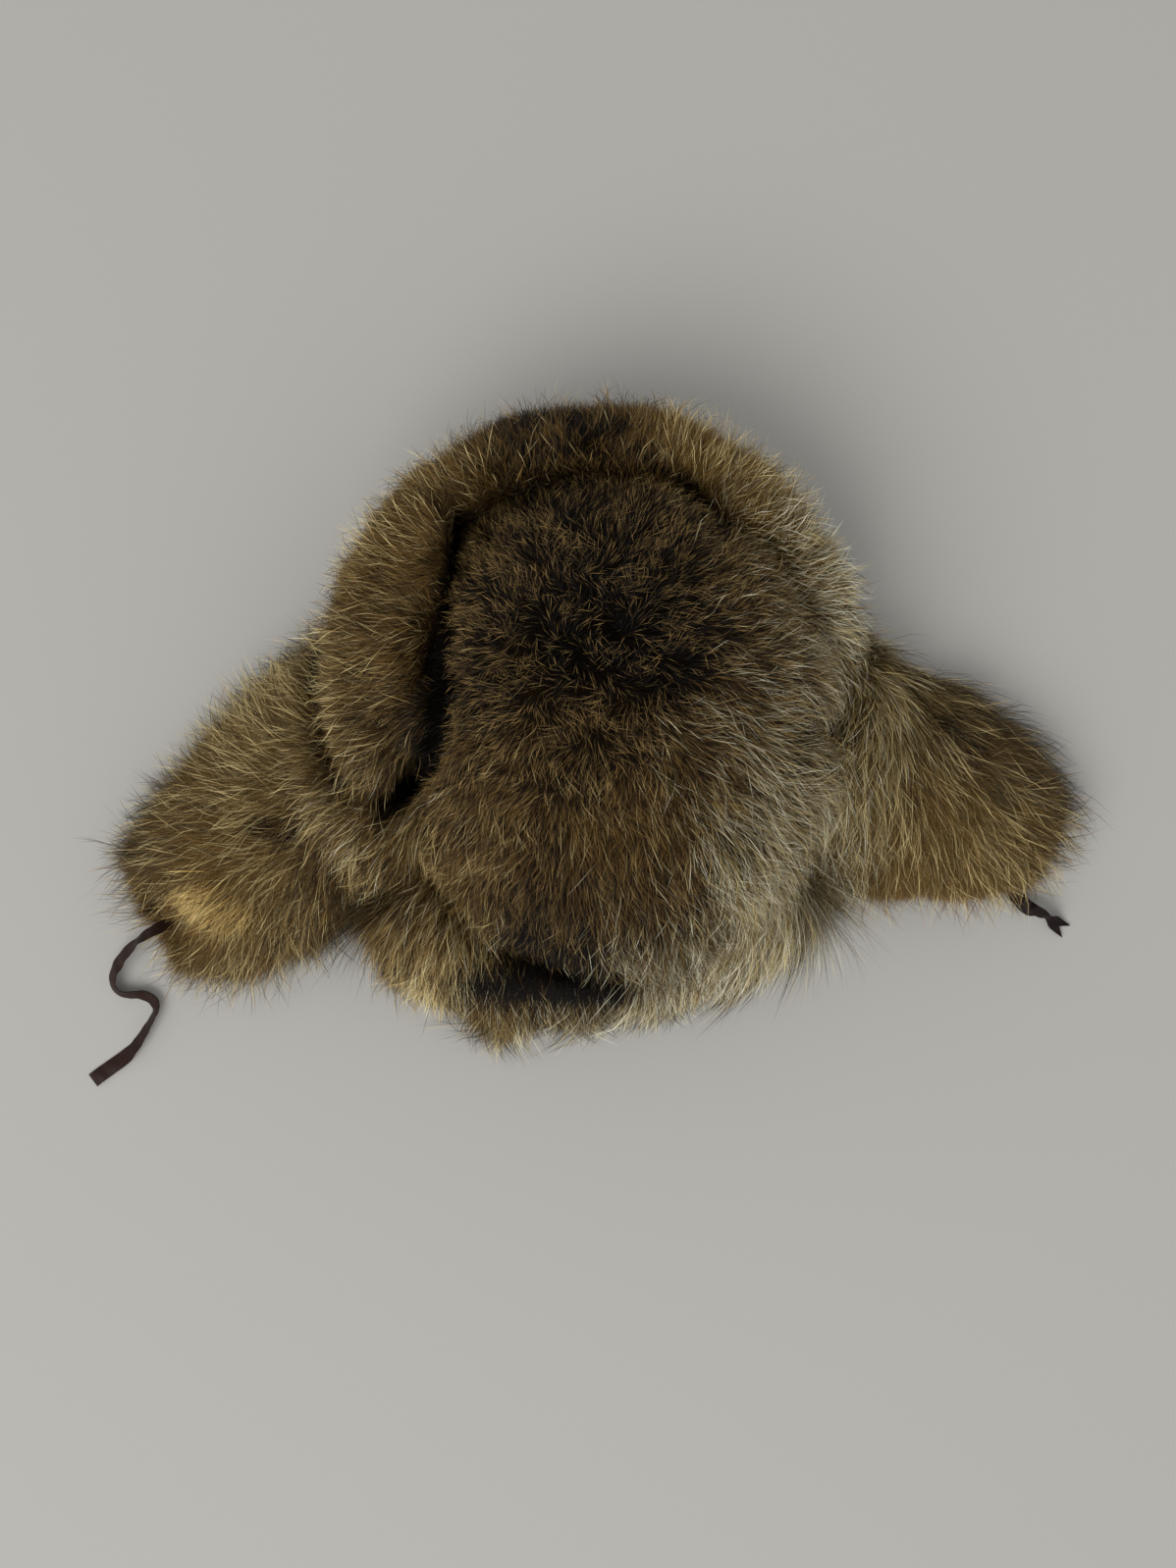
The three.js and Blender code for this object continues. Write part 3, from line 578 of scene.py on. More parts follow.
class Wiring:
    """Adds shader nodes to a material or a node group and joins them"""

    def __init__(self, tree):
        self.tree = tree

    def node(self, kind, inputs=None, **settings):
        made = self.tree.nodes.new(kind)
        for name, value in settings.items():
            setattr(made, name, value)
        for name, value in (inputs or {}).items():
            self.join(value, made.inputs[name])
        return made

    def join(self, value, socket):
        if isinstance(value, bpy.types.NodeSocket):
            self.tree.links.new(value, socket)
        else:
            socket.default_value = value

    def math(self, operation, *values):
        made = self.node("ShaderNodeMath", operation=operation)
        for value, socket in zip(values, made.inputs):
            self.join(value, socket)
        return made.outputs[0]

    def ease(self, value, low, high, to_low=0.0, to_high=1.0):
        made = self.node("ShaderNodeMapRange", interpolation_type="SMOOTHSTEP")
        for name, given in (
            ("Value", value), ("From Min", low), ("From Max", high), ("To Min", to_low), ("To Max", to_high),
        ):
            self.join(given, made.inputs[name])
        return made.outputs["Result"]

    def blend(self, factor, first, second):
        made = self.node("ShaderNodeMix", data_type="RGBA")
        self.join(factor, made.inputs["Factor"])
        self.join(first, made.inputs[6])
        self.join(second, made.inputs[7])
        return made.outputs[2]

    def scale(self, colour, factor):
        made = self.node("ShaderNodeVectorMath", operation="SCALE")
        self.join(colour, made.inputs[0])
        self.join(factor, made.inputs["Scale"])
        return made.outputs[0]

    def ramp(self, factor, stops, interpolation="LINEAR"):
        made = self.node("ShaderNodeValToRGB", inputs={"Fac": factor})
        ramp = made.color_ramp
        ramp.interpolation = interpolation
        while len(ramp.elements) < len(stops):
            ramp.elements.new(1.0)
        for element, (place, colour) in zip(ramp.elements, stops):
            element.position = place
            element.color = colour
        return made.outputs["Color"]

    def noise(self, place, scale, detail, roughness=0.5):
        made = self.node("ShaderNodeTexNoise", inputs={
            "Vector": place, "Scale": scale, "Detail": detail, "Roughness": roughness,
        })
        return made.outputs["Fac"]

    def bump(self, height, strength, distance):
        made = self.node("ShaderNodeBump", inputs={
            "Height": height, "Strength": strength, "Distance": distance,
        })
        return made.outputs["Normal"]


def new_group(name, inputs, outputs):
    """A shader node group with named inputs and outputs, and its wiring"""
    tree = bpy.data.node_groups.new(name, "ShaderNodeTree")
    for label, kind, default in inputs:
        socket = tree.interface.new_socket(name=label, in_out="INPUT", socket_type=kind)
        socket.default_value = default
    for label, kind in outputs:
        tree.interface.new_socket(name=label, in_out="OUTPUT", socket_type=kind)
    wiring = Wiring(tree)
    return tree, wiring, wiring.node("NodeGroupInput"), wiring.node("NodeGroupOutput")


def hair_group(coat):
    """Node group: colour of a hair from its place on the hair card's map, where Across tells its kind and
    its tone and Along runs from the root to the tip"""
    tree = bpy.data.node_groups.get("Hair colours")
    if tree:
        return tree
    tree, wiring, given, out = new_group(
        "Hair colours",
        [
            ("Across", "NodeSocketFloat", 0.0),
            ("Along", "NodeSocketFloat", 0.5),
            ("Brightness", "NodeSocketFloat", 1.0),
        ],
        [("Color", "NodeSocketColor")],
    )
    across, along = given.outputs["Across"], given.outputs["Along"]
    stages = []
    for stage in ("root", "middle", "tip"):
        stops = [
            (number / len(KINDS), linear(getattr(coat, f"{kind}_{stage}")))
            for number, kind in enumerate(KINDS)
        ]
        stages.append(wiring.ramp(across, stops, "CONSTANT"))
    lower = wiring.blend(wiring.ease(along, 0.02, 0.50), stages[0], stages[1])
    whole = wiring.blend(wiring.ease(along, 0.45, 0.82), lower, stages[2])
    tone = wiring.math("FRACT", wiring.math("MULTIPLY", across, float(len(KINDS))))
    shade = wiring.math("ADD", wiring.math("MULTIPLY", tone, 1.2), 0.4)
    bright = wiring.math("MULTIPLY", shade, given.outputs["Brightness"])
    wiring.join(wiring.scale(whole, bright), out.inputs["Color"])
    return tree


def weave_group():
    """Node group: the fine cross threads of a satin ribbon and its firmer edges, from the ribbon's own map"""
    tree = bpy.data.node_groups.get("Satin weave")
    if tree:
        return tree
    tree, wiring, given, out = new_group(
        "Satin weave",
        [
            ("Across", "NodeSocketFloat", 0.5),
            ("Along", "NodeSocketFloat", 0.0),
            ("Threads", "NodeSocketFloat", 250.0),
        ],
        [("Height", "NodeSocketFloat"), ("Edge", "NodeSocketFloat"), ("Streak", "NodeSocketFloat")],
    )
    across, along = given.outputs["Across"], given.outputs["Along"]
    turn = wiring.math("MULTIPLY", wiring.math("MULTIPLY", along, given.outputs["Threads"]), math.pi)
    rib = wiring.math("ABSOLUTE", wiring.math("SINE", turn))
    place = wiring.node("ShaderNodeCombineXYZ", inputs={
        "X": wiring.math("MULTIPLY", across, 26.0), "Y": wiring.math("MULTIPLY", along, 3.0),
    })
    streak = wiring.noise(place.outputs[0], 1.0, 3.0)
    aside = wiring.math("ABSOLUTE", wiring.math("SUBTRACT", across, 0.5))
    edge = wiring.ease(aside, 0.40, 0.47)
    wiring.join(wiring.math("ADD", wiring.math("MULTIPLY", rib, 0.5), edge), out.inputs["Height"])
    wiring.join(edge, out.inputs["Edge"])
    wiring.join(streak, out.inputs["Streak"])
    return tree


def new_material(name, **constants):
    """A material, its wiring and its shader, with the shader's constant values set"""
    material = bpy.data.materials.new(name)
    material.use_nodes = True
    wiring = Wiring(material.node_tree)
    shader = material.node_tree.nodes["Principled BSDF"]
    for label, value in constants.items():
        shader.inputs[label.replace("_", " ")].default_value = value
    return material, wiring, shader


def put_group(wiring, tree, inputs):
    """A node group placed in a material"""
    made = wiring.node("ShaderNodeGroup", node_tree=tree)
    for label, value in inputs.items():
        wiring.join(value, made.inputs[label])
    return made


def hair_material(name, coat):
    """Material of the hairs of a piece"""
    found = bpy.data.materials.get(name)
    if found:
        return found
    material, wiring, shader = new_material(name, Roughness=0.6, Specular_IOR_Level=0.12)
    map_node = wiring.node("ShaderNodeUVMap", uv_map=HAIR_MAP)
    split = wiring.node("ShaderNodeSeparateXYZ", inputs={"Vector": map_node.outputs["UV"]})
    colours = put_group(wiring, hair_group(coat), {
        "Across": split.outputs["X"], "Along": split.outputs["Y"], "Brightness": coat.brightness,
    })
    wiring.join(colours.outputs["Color"], shader.inputs["Base Color"])
    return material


def underfur_material():
    """Material of the dense underfur, coloured by the coat at each place"""
    found = bpy.data.materials.get("Dense underfur")
    if found:
        return found
    material, wiring, shader = new_material("Dense underfur", Roughness=0.95, Specular_IOR_Level=0.02)
    tint = wiring.node("ShaderNodeAttribute", attribute_name=TINT)
    tuft = wiring.noise(wiring.node("ShaderNodeTexCoord").outputs["Object"], 420.0, 4.0, 0.7)
    shade = wiring.ease(tuft, 0.3, 0.7, 0.55, 1.15)
    wiring.join(wiring.scale(tint.outputs["Color"], shade), shader.inputs["Base Color"])
    wiring.join(wiring.bump(tuft, 0.6, 0.001), shader.inputs["Normal"])
    return material


def pelt_material():
    """Material of the crown wall: the suede back of the pelt"""
    material, wiring, shader = new_material("Suede pelt", Specular_IOR_Level=0.25)
    place = wiring.node("ShaderNodeTexCoord").outputs["Object"]
    patch = wiring.noise(place, 28.0, 4.0)
    grain = wiring.noise(place, 900.0, 3.0)
    colour = wiring.ramp(patch, [
        (0.30, linear((0.36, 0.27, 0.19))),
        (0.52, linear((0.45, 0.35, 0.25))),
        (0.75, linear((0.52, 0.42, 0.31))),
    ])
    shade = wiring.ease(grain, 0.3, 0.7, 0.82, 1.10)
    wiring.join(wiring.scale(colour, shade), shader.inputs["Base Color"])
    wiring.join(wiring.ease(grain, 0.3, 0.7, 0.95, 0.78), shader.inputs["Roughness"])
    wiring.join(wiring.bump(grain, 0.4, 0.0005), shader.inputs["Normal"])
    return material


def ribbon_material(name, colour, threads):
    """Material of a satin ribbon"""
    material, wiring, shader = new_material(name, Specular_IOR_Level=0.16)
    map_node = wiring.node("ShaderNodeUVMap", uv_map="UVMap")
    split = wiring.node("ShaderNodeSeparateXYZ", inputs={"Vector": map_node.outputs["UV"]})
    weave = put_group(wiring, weave_group(), {
        "Across": split.outputs["Y"], "Along": split.outputs["X"], "Threads": threads,
    })
    shade = wiring.ease(weave.outputs["Streak"], 0.3, 0.7, 0.80, 1.22)
    edged = wiring.math("MULTIPLY", shade, wiring.ease(weave.outputs["Edge"], 0.0, 1.0, 1.0, 0.72))
    wiring.join(wiring.scale(linear(colour)[:3], edged), shader.inputs["Base Color"])
    wiring.join(wiring.ease(weave.outputs["Streak"], 0.3, 0.7, 0.40, 0.56), shader.inputs["Roughness"])
    wiring.join(wiring.bump(weave.outputs["Height"], 0.35, 0.0002), shader.inputs["Normal"])
    return material


def soften(piece, kind, settings):
    """Adds a modifier to the active piece and applies it"""
    modifier = piece.modifiers.new(kind.capitalize(), kind)
    for name, value in settings.items():
        setattr(modifier, name, value)
    bpy.ops.object.modifier_apply(modifier=modifier.name)


def vertex_values(mesh, name):
    """The places, called co, or the outward directions, called normal, of a mesh's vertices"""
    values = np.empty(len(mesh.vertices) * 3)
    mesh.vertices.foreach_get(name, values)
    return values.reshape(-1, 3)


def spans_along(line):
    """How far along a line each of its points lies"""
    return np.concatenate([[0], np.cumsum(np.linalg.norm(np.diff(line, axis=0), axis=1))])


def on_line(line, spans, at):
    """Places at given distances along a line on the floor"""
    return np.stack([np.interp(at, spans, line[:, 0]), np.interp(at, spans, line[:, 1])], axis=1)


def read_table(table, shares):
    """What a table of shares and values says at each share"""
    return np.interp(shares, *zip(*table))


def eased_route(route):
    """A smooth line through the points of a route"""
    points = np.array(route, float)
    gaps = np.concatenate([[0], np.cumsum(np.sqrt(np.linalg.norm(np.diff(points, axis=0), axis=1)))])
    before = np.concatenate([[2 * points[0] - points[1]], points[:-1]])
    after = np.concatenate([points[1:], [2 * points[-1] - points[-2]]])
    widths = np.concatenate([[2 * gaps[1]], gaps[2:] - gaps[:-2], [2 * (gaps[-1] - gaps[-2])]])
    slopes = (after - before) / widths[:, None]
    at = np.linspace(0, gaps[-1], ROUTE_STEPS)
    low = np.clip(np.searchsorted(gaps, at, side="right") - 1, 0, len(gaps) - 2)
    span = (gaps[low + 1] - gaps[low])[:, None]
    s = ((at - gaps[low]) / span[:, 0])[:, None]
    return (
        points[low] * (2 * s**3 - 3 * s**2 + 1) + slopes[low] * span * (s**3 - 2 * s**2 + s)
        + points[low + 1] * (3 * s**2 - 2 * s**3) + slopes[low + 1] * span * (s**3 - s**2)
    )


def ribbon_line(tie):
    """Points along the middle of a ribbon and how high it lies at each, in millimetres. The route is as the
    camera sees it, so a point that lies high is moved to where it really is"""
    line = eased_route(tie["route"])
    spans = spans_along(line)
    heights = RIBBON_LIFT + read_table(tie["lie"], spans / spans[-1])
    return EYE + (line - EYE) * (1 - heights[:, None] / EYE_HEIGHT), heights


def open_fold(places):
    """How far each place seen from above lies in a fold that stays open, from 0 to 1"""
    return on_stripes(places, FOLDS, 0.0)


def closed_copy(node):
    """A copy of a fur solid, made anew with the gaps between its locks closed, and smoothed"""
    shape = UNDERFURS[node]
    piece = bpy.data.objects.new(node + UNDERFUR_END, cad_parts[node].data.copy())
    bpy.context.scene.collection.objects.link(piece)
    pick(piece)
    bpy.ops.object.mode_set(mode="EDIT")
    bpy.ops.mesh.select_all(action="SELECT")
    bpy.ops.mesh.remove_doubles(threshold=0.01 * MM)
    bpy.ops.mesh.normals_make_consistent(inside=False)
    bpy.ops.object.mode_set(mode="OBJECT")
    soften(piece, "REMESH", {"mode": "VOXEL", "voxel_size": FIRST_GRID * MM})
    soften(piece, "DISPLACE", {"strength": shape["closing"] * MM, "mid_level": 0.0, "direction": "NORMAL"})
    soften(piece, "REMESH", {"mode": "VOXEL", "voxel_size": shape["grid"] * MM, "use_smooth_shade": True})
    soften(piece, "SMOOTH", {"factor": 0.5, "iterations": shape["rounds"]})
    return piece


def facing_out(places, outs):
    """How far each place faces away from the middle of the crown, from -1 to 1"""
    return np.sum(unit(places[:, :2] - CROWN_HEART) * outs[:, :2], axis=1)


def underfur_depth(node, places, outs):
    """How far inside its solid the underfur lies at each place. It is below zero where it fills a fold"""
    folded = open_fold(seen_from_above(places))
    facing = facing_out(places, outs)
    side = smooth(0.2, 0.7, facing if node == "crown_fur" else -facing) * smooth(14, 30, places[:, 2])
    depth = UNDERFURS[node]["sink"] * (1 - side) - (FILL * (1 - folded) - FOLD_BACK * folded) * side
    if node.startswith("ear_flap"):
        near = 1 - smooth(118, 144, np.linalg.norm(places[:, :2], axis=1))
        depth = depth * (1 - near) - FLAP_ROOT_FILL * near
    if node == "front_visor":
        beside = smooth(0.2, 0.7, facing) * smooth(-45, -15, places[:, 1])
        beside = beside * (1 - smooth(40, 62, places[:, 2]))
        depth = depth * (1 - beside) - VISOR_SIDE_FILL * beside
    if node == "crown_fur":
        depth = depth + CREVICE_BACK * folded * side * smooth(55, 70, places[:, 0])
    return depth


def reach_over(places, outs, facing, raised):
    """Moves the left end of the turned up front over the crevice beside the crown"""
    inner = smooth(0.0, 0.45, -facing) * smooth(30, 52, raised) * smooth(70, 84, places[:, 0])
    inner = inner * smooth(-112, -92, places[:, 1]) * (1 - smooth(8, 26, places[:, 1]))
    places[:, 0] -= (REACH_IN - REACH_IN_LESS * smooth(-30, 5, places[:, 1])) * inner
    end = smooth(0.0, 0.6, outs[:, 1]) * smooth(8, 24, places[:, 1]) * smooth(80, 98, places[:, 0])
    places[:, 1] += REACH_BACK * end


def press(places):
    """Presses the fur down under the ribbons where they lie on it"""
    for tie in RIBBONS.values():
        line, heights = ribbon_line(tie)
        for step in range(*tie["presses"], PRESS_STEP):
            away = np.linalg.norm(places[:, :2] - line[step], axis=1)
            room = heights[step] - PRESS_ROOM + PRESS_SLOPE * np.maximum(away - PRESS_HALF, 0)
            room = np.minimum(places[:, 2], np.maximum(room, FLOOR_CLEARANCE))
            places[:, 2] = np.where(away < PRESS_REACH, room, places[:, 2])


def underfur(node, coat):
    """The dense underfur of a fur node: a softened copy of its solid, a little inside it"""
    piece = closed_copy(node)
    places, outs = to_hat(vertex_values(piece.data, "co")), vertex_values(piece.data, "normal")
    facing, raised = facing_out(places, outs), places[:, 2]
    depth = UNDERFURS[node]["closing"] + underfur_depth(node, places, outs)
    places = places - outs * depth[:, None]
    if node == "front_visor":
        reach_over(places, outs, facing, raised)
    if node == "ear_flap_left":
        places[places[:, 0] > LONE_TIP, 0] = LONE_TIP_TO
    press(places)
    places[:, 2] = np.maximum(places[:, 2], FLOOR_CLEARANCE)
    piece.data.vertices.foreach_set("co", to_frame(places).ravel())
    piece.data.update()
    soften(piece, "SMOOTH", {"factor": 0.5, "iterations": LAST_ROUNDS})
    tint_underfur(piece.data, coat)
    return piece


def tint_underfur(mesh, coat):
    """Colours the underfur with the mix of short hair that grows on it, with painted shade as it lies deep"""
    places = to_hat(vertex_values(mesh, "co"))
    mix = under_mix(read_coat(seen_from_above(places), 1.6 * waves(places, 14.0, SEED))[3])
    colours = np.array([
        [linear(getattr(coat, f"{kind}_{stage}")) for stage in ("root", "middle")] for kind in KINDS
    ])
    shades = mix @ colours.mean(axis=1) * UNDERFUR_PAINTED_SHADE
    shades[:, 3] = 1.0
    tint = mesh.color_attributes.new(TINT, "FLOAT_COLOR", "POINT")
    tint.data.foreach_set("color", shades.ravel())
    mesh.update()


def under_mix(mix):
    """The mix of the short underfur where the coat has a given mix"""
    mix = mix * UNDER_SHARES
    return mix / np.maximum(mix.sum(axis=1, keepdims=True), 1e-6)


def guard_mix(mix):
    """The mix of the long guard hair where the coat has a given mix, and how much of it there is"""
    mix = mix * GUARD_SHARES
    amount = mix.sum(axis=1, keepdims=True)
    return mix / np.maximum(amount, 1e-6), np.clip(0.12 + amount[:, 0], 0, 1)


def crown_wanted(places, outs):
    """Fewer hairs low on the crown, where the turned up front and the flaps hide it"""
    return 0.25 + 0.75 * smooth(22, 50, places[:, 2] + 0.5 * np.maximum(places[:, 1] - 50, 0))


def band_wanted(places, outs):
    """Fewer hairs where a band of fur faces the crown"""
    towards = -np.sum(unit(places[:, :2]) * outs[:, :2], axis=1)
    return 1 - 0.35 * smooth(0.3, 0.9, towards)


def flap_wanted(places, outs):
    """Fewer hairs where an ear flap runs under the front and against the crown"""
    away = np.linalg.norm(places[:, :2] / np.array([1.0, 1.15]), axis=1)
    return 0.10 + 0.90 * smooth(84, 104, away)


WANTED = {
    "crown_fur": crown_wanted,
    "front_visor": band_wanted,
    "ear_flap_left": flap_wanted,
    "ear_flap_right": flap_wanted,
    "neck_flap": band_wanted,
}


def faces_of(mesh):
    """Corner places, outward directions and areas of a mesh's triangles, in millimetres"""
    mesh.calc_loop_triangles()
    index = np.empty(len(mesh.loop_triangles) * 3, np.int32)
    mesh.loop_triangles.foreach_get("vertices", index)
    index = index.reshape(-1, 3)
    places = to_hat(vertex_values(mesh, "co"))[index]
    outs = vertex_values(mesh, "normal")[index]
    areas = np.linalg.norm(np.cross(places[:, 1] - places[:, 0], places[:, 2] - places[:, 0]), axis=1) / 2
    return places, outs, areas


def scatter(node, count, chance):
    """Places and outward directions of hair roots over the underfur of a node, more where more are wanted and
    hardly any where it faces the floor"""
    places, outs, areas = faces_of(bpy.data.objects[node + UNDERFUR_END].data)
    middles, facing = places.mean(axis=1), unit(outs.mean(axis=1))
    seen = smooth(0.5, 7.0, middles[:, 2]) * smooth(-0.75, -0.2, facing[:, 2])
    weight = areas * (0.01 + seen * WANTED[node](middles, facing))
    face = np.sort(chance.choice(len(areas), size=count, p=weight / weight.sum()))
    a, b = chance.random(count), chance.random(count)
    over = a + b > 1
    a[over], b[over] = 1 - a[over], 1 - b[over]
    share = np.stack([1 - a - b, a, b], axis=1)[:, :, None]
    return np.sum(places[face] * share, axis=1), unit(np.sum(outs[face] * share, axis=1))


def guard_roots(node, count, chance):
    """Places and outward directions of the roots of the long hairs, chosen where the coat has them"""
    roots, outs = scatter(node, GUARD_CHOICE * count, chance)
    seen = seen_from_above(roots)
    amount = guard_mix(read_coat(seen, 0.0)[3])[1]
    likely = amount * chance.random(len(roots)) * (1 - FOLD_THINNING * open_fold(seen))
    keep = np.sort(np.argsort(-likely)[:count])
    return roots[keep], outs[keep]


def gather(roots, tips, every, strength, chance):
    """Draws the hair tips together into locks"""
    heads = chance.choice(len(roots), size=max(1, len(roots) // every), replace=False)
    tree = kdtree.KDTree(len(heads))
    for number, head in enumerate(heads):
        tree.insert(Vector(roots[head]), number)
    tree.balance()
    head = heads[np.array([tree.find(Vector(root))[1] for root in roots])]
    pull = strength * chance.uniform(0.4, 1.0, len(roots))[:, None]
    return tips + (tips[head] - tips) * pull


def clear_of_ribbons(centre, chance):
    """Which hairs don't cover the ribbons where these lie on the fur"""
    keep = np.ones(len(centre), bool)
    flat = centre.reshape(-1, 3)
    for tie in RIBBONS.values():
        line, heights = ribbon_line(tie)
        first = int(tie["bare_from"] * ROUTE_STEPS)
        line, heights = line[first::COVER_STEP], heights[first::COVER_STEP]
        near = np.linalg.norm(flat[:, :2] - line.mean(axis=0), axis=1) < COVER_ROUND
        gaps = np.linalg.norm(flat[near][:, None, :2] - line[None], axis=2)
        low = heights[gaps.argmin(axis=1)] - COVER_BELOW
        covers = np.zeros(len(flat), bool)
        covers[near] = (gaps.min(axis=1) < COVER_REACH) & (flat[near][:, 2] > low)
        covers = covers.reshape(centre.shape[:2]).any(axis=1)
        keep &= ~(covers & (chance.random(len(centre)) < COVER_SHARE))
    return keep


def bent_hairs(hairs, style, shares, chance):
    """Points at some shares along each bent hair, and its tip"""
    roots, outs, along = hairs["roots"], hairs["outs"], hairs["along"]
    count = len(roots)
    sideways = np.cross(outs, along)
    swing = chance.normal(0, style["swing"], count)[:, None]
    lifts = (hairs["lifts"] + chance.normal(0, style["ruffle"], count))[:, None]
    heading = unit(along + sideways * swing)
    start = heading * np.cos(lifts) + outs * np.sin(lifts)
    fallen = lifts - lifts * style["fall"]
    curl = chance.normal(0, style["curl"], count)[:, None]
    end = unit(heading * np.cos(fallen) + outs * np.sin(fallen) + sideways * curl)
    lengths = (hairs["lengths"] * chance.uniform(1 - style["uneven"], 1 + style["uneven"], count))[:, None]
    tips = roots + lengths * (start + end) / 2
    if style["gather"]:
        tips = gather(roots, tips, style["lock"], style["gather"], chance)
    bend = roots + lengths * start / 2
    sag = np.array([0, 0, style["sag"]])
    centre = np.stack([
        roots * (1 - s) ** 2 + bend * 2 * s * (1 - s) + tips * s**2 - sag * lengths * s**2 for s in shares
    ], axis=1)
    centre[:, :, 2] = np.maximum(centre[:, :, 2], FLOOR_CLEARANCE)
    return centre, tips


def hair_map(hairs, shares, loops):
    """The map of the hairs: across it lie their kinds and tones, and along it their roots and tips"""
    count, segments = len(hairs["kinds"]), len(shares) - 1
    middle = ((hairs["kinds"] + 0.06 + 0.88 * hairs["tones"]) / len(KINDS))[:, None]
    half = CARD_WIDTH / len(KINDS)
    u = np.concatenate([middle + np.tile([-half, half], segments), middle], axis=1)
    along = np.concatenate([np.repeat(shares[:-1], 2), [1.0]])
    v = np.tile(along * 0.96 + 0.02, (count, 1))
    return np.stack([u, v], axis=2).reshape(-1, 2)[loops]


def hair_mesh(name, hairs, centre, half, shares):
    """A mesh of tapered hairs from the points along their middles and half their widths"""
    count, segments = len(centre), len(shares) - 1
    pairs = np.stack([(centre - half)[:, :-1], (centre + half)[:, :-1]], axis=2).reshape(count, -1, 3)
    verts = np.concatenate([pairs, centre[:, -1:]], axis=1)
    quads = [[2 * r, 2 * r + 1, 2 * r + 3, 2 * r + 2] for r in range(segments - 1)]
    last = [2 * segments - 2, 2 * segments - 1, 2 * segments]
    pattern = np.array(sum(quads, []) + last)
    loops = (np.arange(count)[:, None] * (2 * segments + 1) + pattern).ravel()
    sizes = np.tile([4] * (segments - 1) + [3], count)
    mesh = bpy.data.meshes.new(name)
    mesh.vertices.add(count * (2 * segments + 1))
    mesh.vertices.foreach_set("co", to_frame(verts.reshape(-1, 3)).ravel())
    mesh.loops.add(len(loops))
    mesh.loops.foreach_set("vertex_index", loops)
    mesh.polygons.add(len(sizes))
    mesh.polygons.foreach_set("loop_start", np.concatenate([[0], np.cumsum(sizes)[:-1]]))
    mesh.update(calc_edges=True)
    mesh.uv_layers.new(name=HAIR_MAP).data.foreach_set("uv", hair_map(hairs, shares, loops).ravel())
    return mesh


def grow(name, hairs, style, coat, chance):
    """A piece of tapered hairs, each bent and turned by chance, with none over the ribbons"""
    shares = np.linspace(0, 1, style["segments"] + 1)
    centre, tips = bent_hairs(hairs, style, shares, chance)
    keep = clear_of_ribbons(centre, chance)
    hairs = {label: values[keep] for label, values in hairs.items()}
    centre, tips, outs = centre[keep], tips[keep], hairs["outs"]
    roll = chance.uniform(-style["roll"], style["roll"], len(centre))[:, None]
    facing = outs * np.cos(roll) + np.cross(outs, hairs["along"]) * np.sin(roll)
    across = unit(np.cross(facing, tips - hairs["roots"]))
    wide = coat.thickness / MM / 2 * style["width"] * chance.uniform(0.7, 1.3, len(centre))
    half = across[:, None, :] * (wide[:, None] * np.interp(shares, TAPER_STOPS, TAPER))[:, :, None]
    piece = bpy.data.objects.new(name, hair_mesh(name, hairs, centre, half, shares))
    bpy.context.scene.collection.objects.link(piece)
    return piece


def from_swirl(seen):
    """Headings away from the crown's swirl, ruffled near it, and how near to it each place lies"""
    away = seen - SWIRL
    radial = unit(away + 6 * np.stack([waves(seen, 26, 3), waves(seen, 26, 4)], axis=1))
    near = np.exp(-np.sum(away**2, axis=1) / (2 * SWIRL_REACH**2))
    twist = near * (1.5 * waves(seen, 22, 5) + 1.2 * waves(seen, 9, 6)) + 0.25 * waves(seen, 30, 7)
    heading = np.stack([
        radial[:, 0] * np.cos(twist) - radial[:, 1] * np.sin(twist),
        radial[:, 0] * np.sin(twist) + radial[:, 1] * np.cos(twist),
    ], axis=1)
    return heading, near


def lie_of_hairs(heading, roots, outs, seed):
    """Directions along the fur for headings seen from above, with the coat's unevenness"""
    way = np.concatenate([heading, np.zeros((len(heading), 1))], axis=1)
    facing = np.sum(way * outs, axis=1, keepdims=True)
    along = laid(way - 0.8 * facing * np.array([0, 0, 1.0]), outs)
    turn = 0.20 * waves(roots, 24, seed + 1) + 0.16 * waves(roots, 9, seed + 2)
    return unit(along + np.cross(outs, along) * turn[:, None])


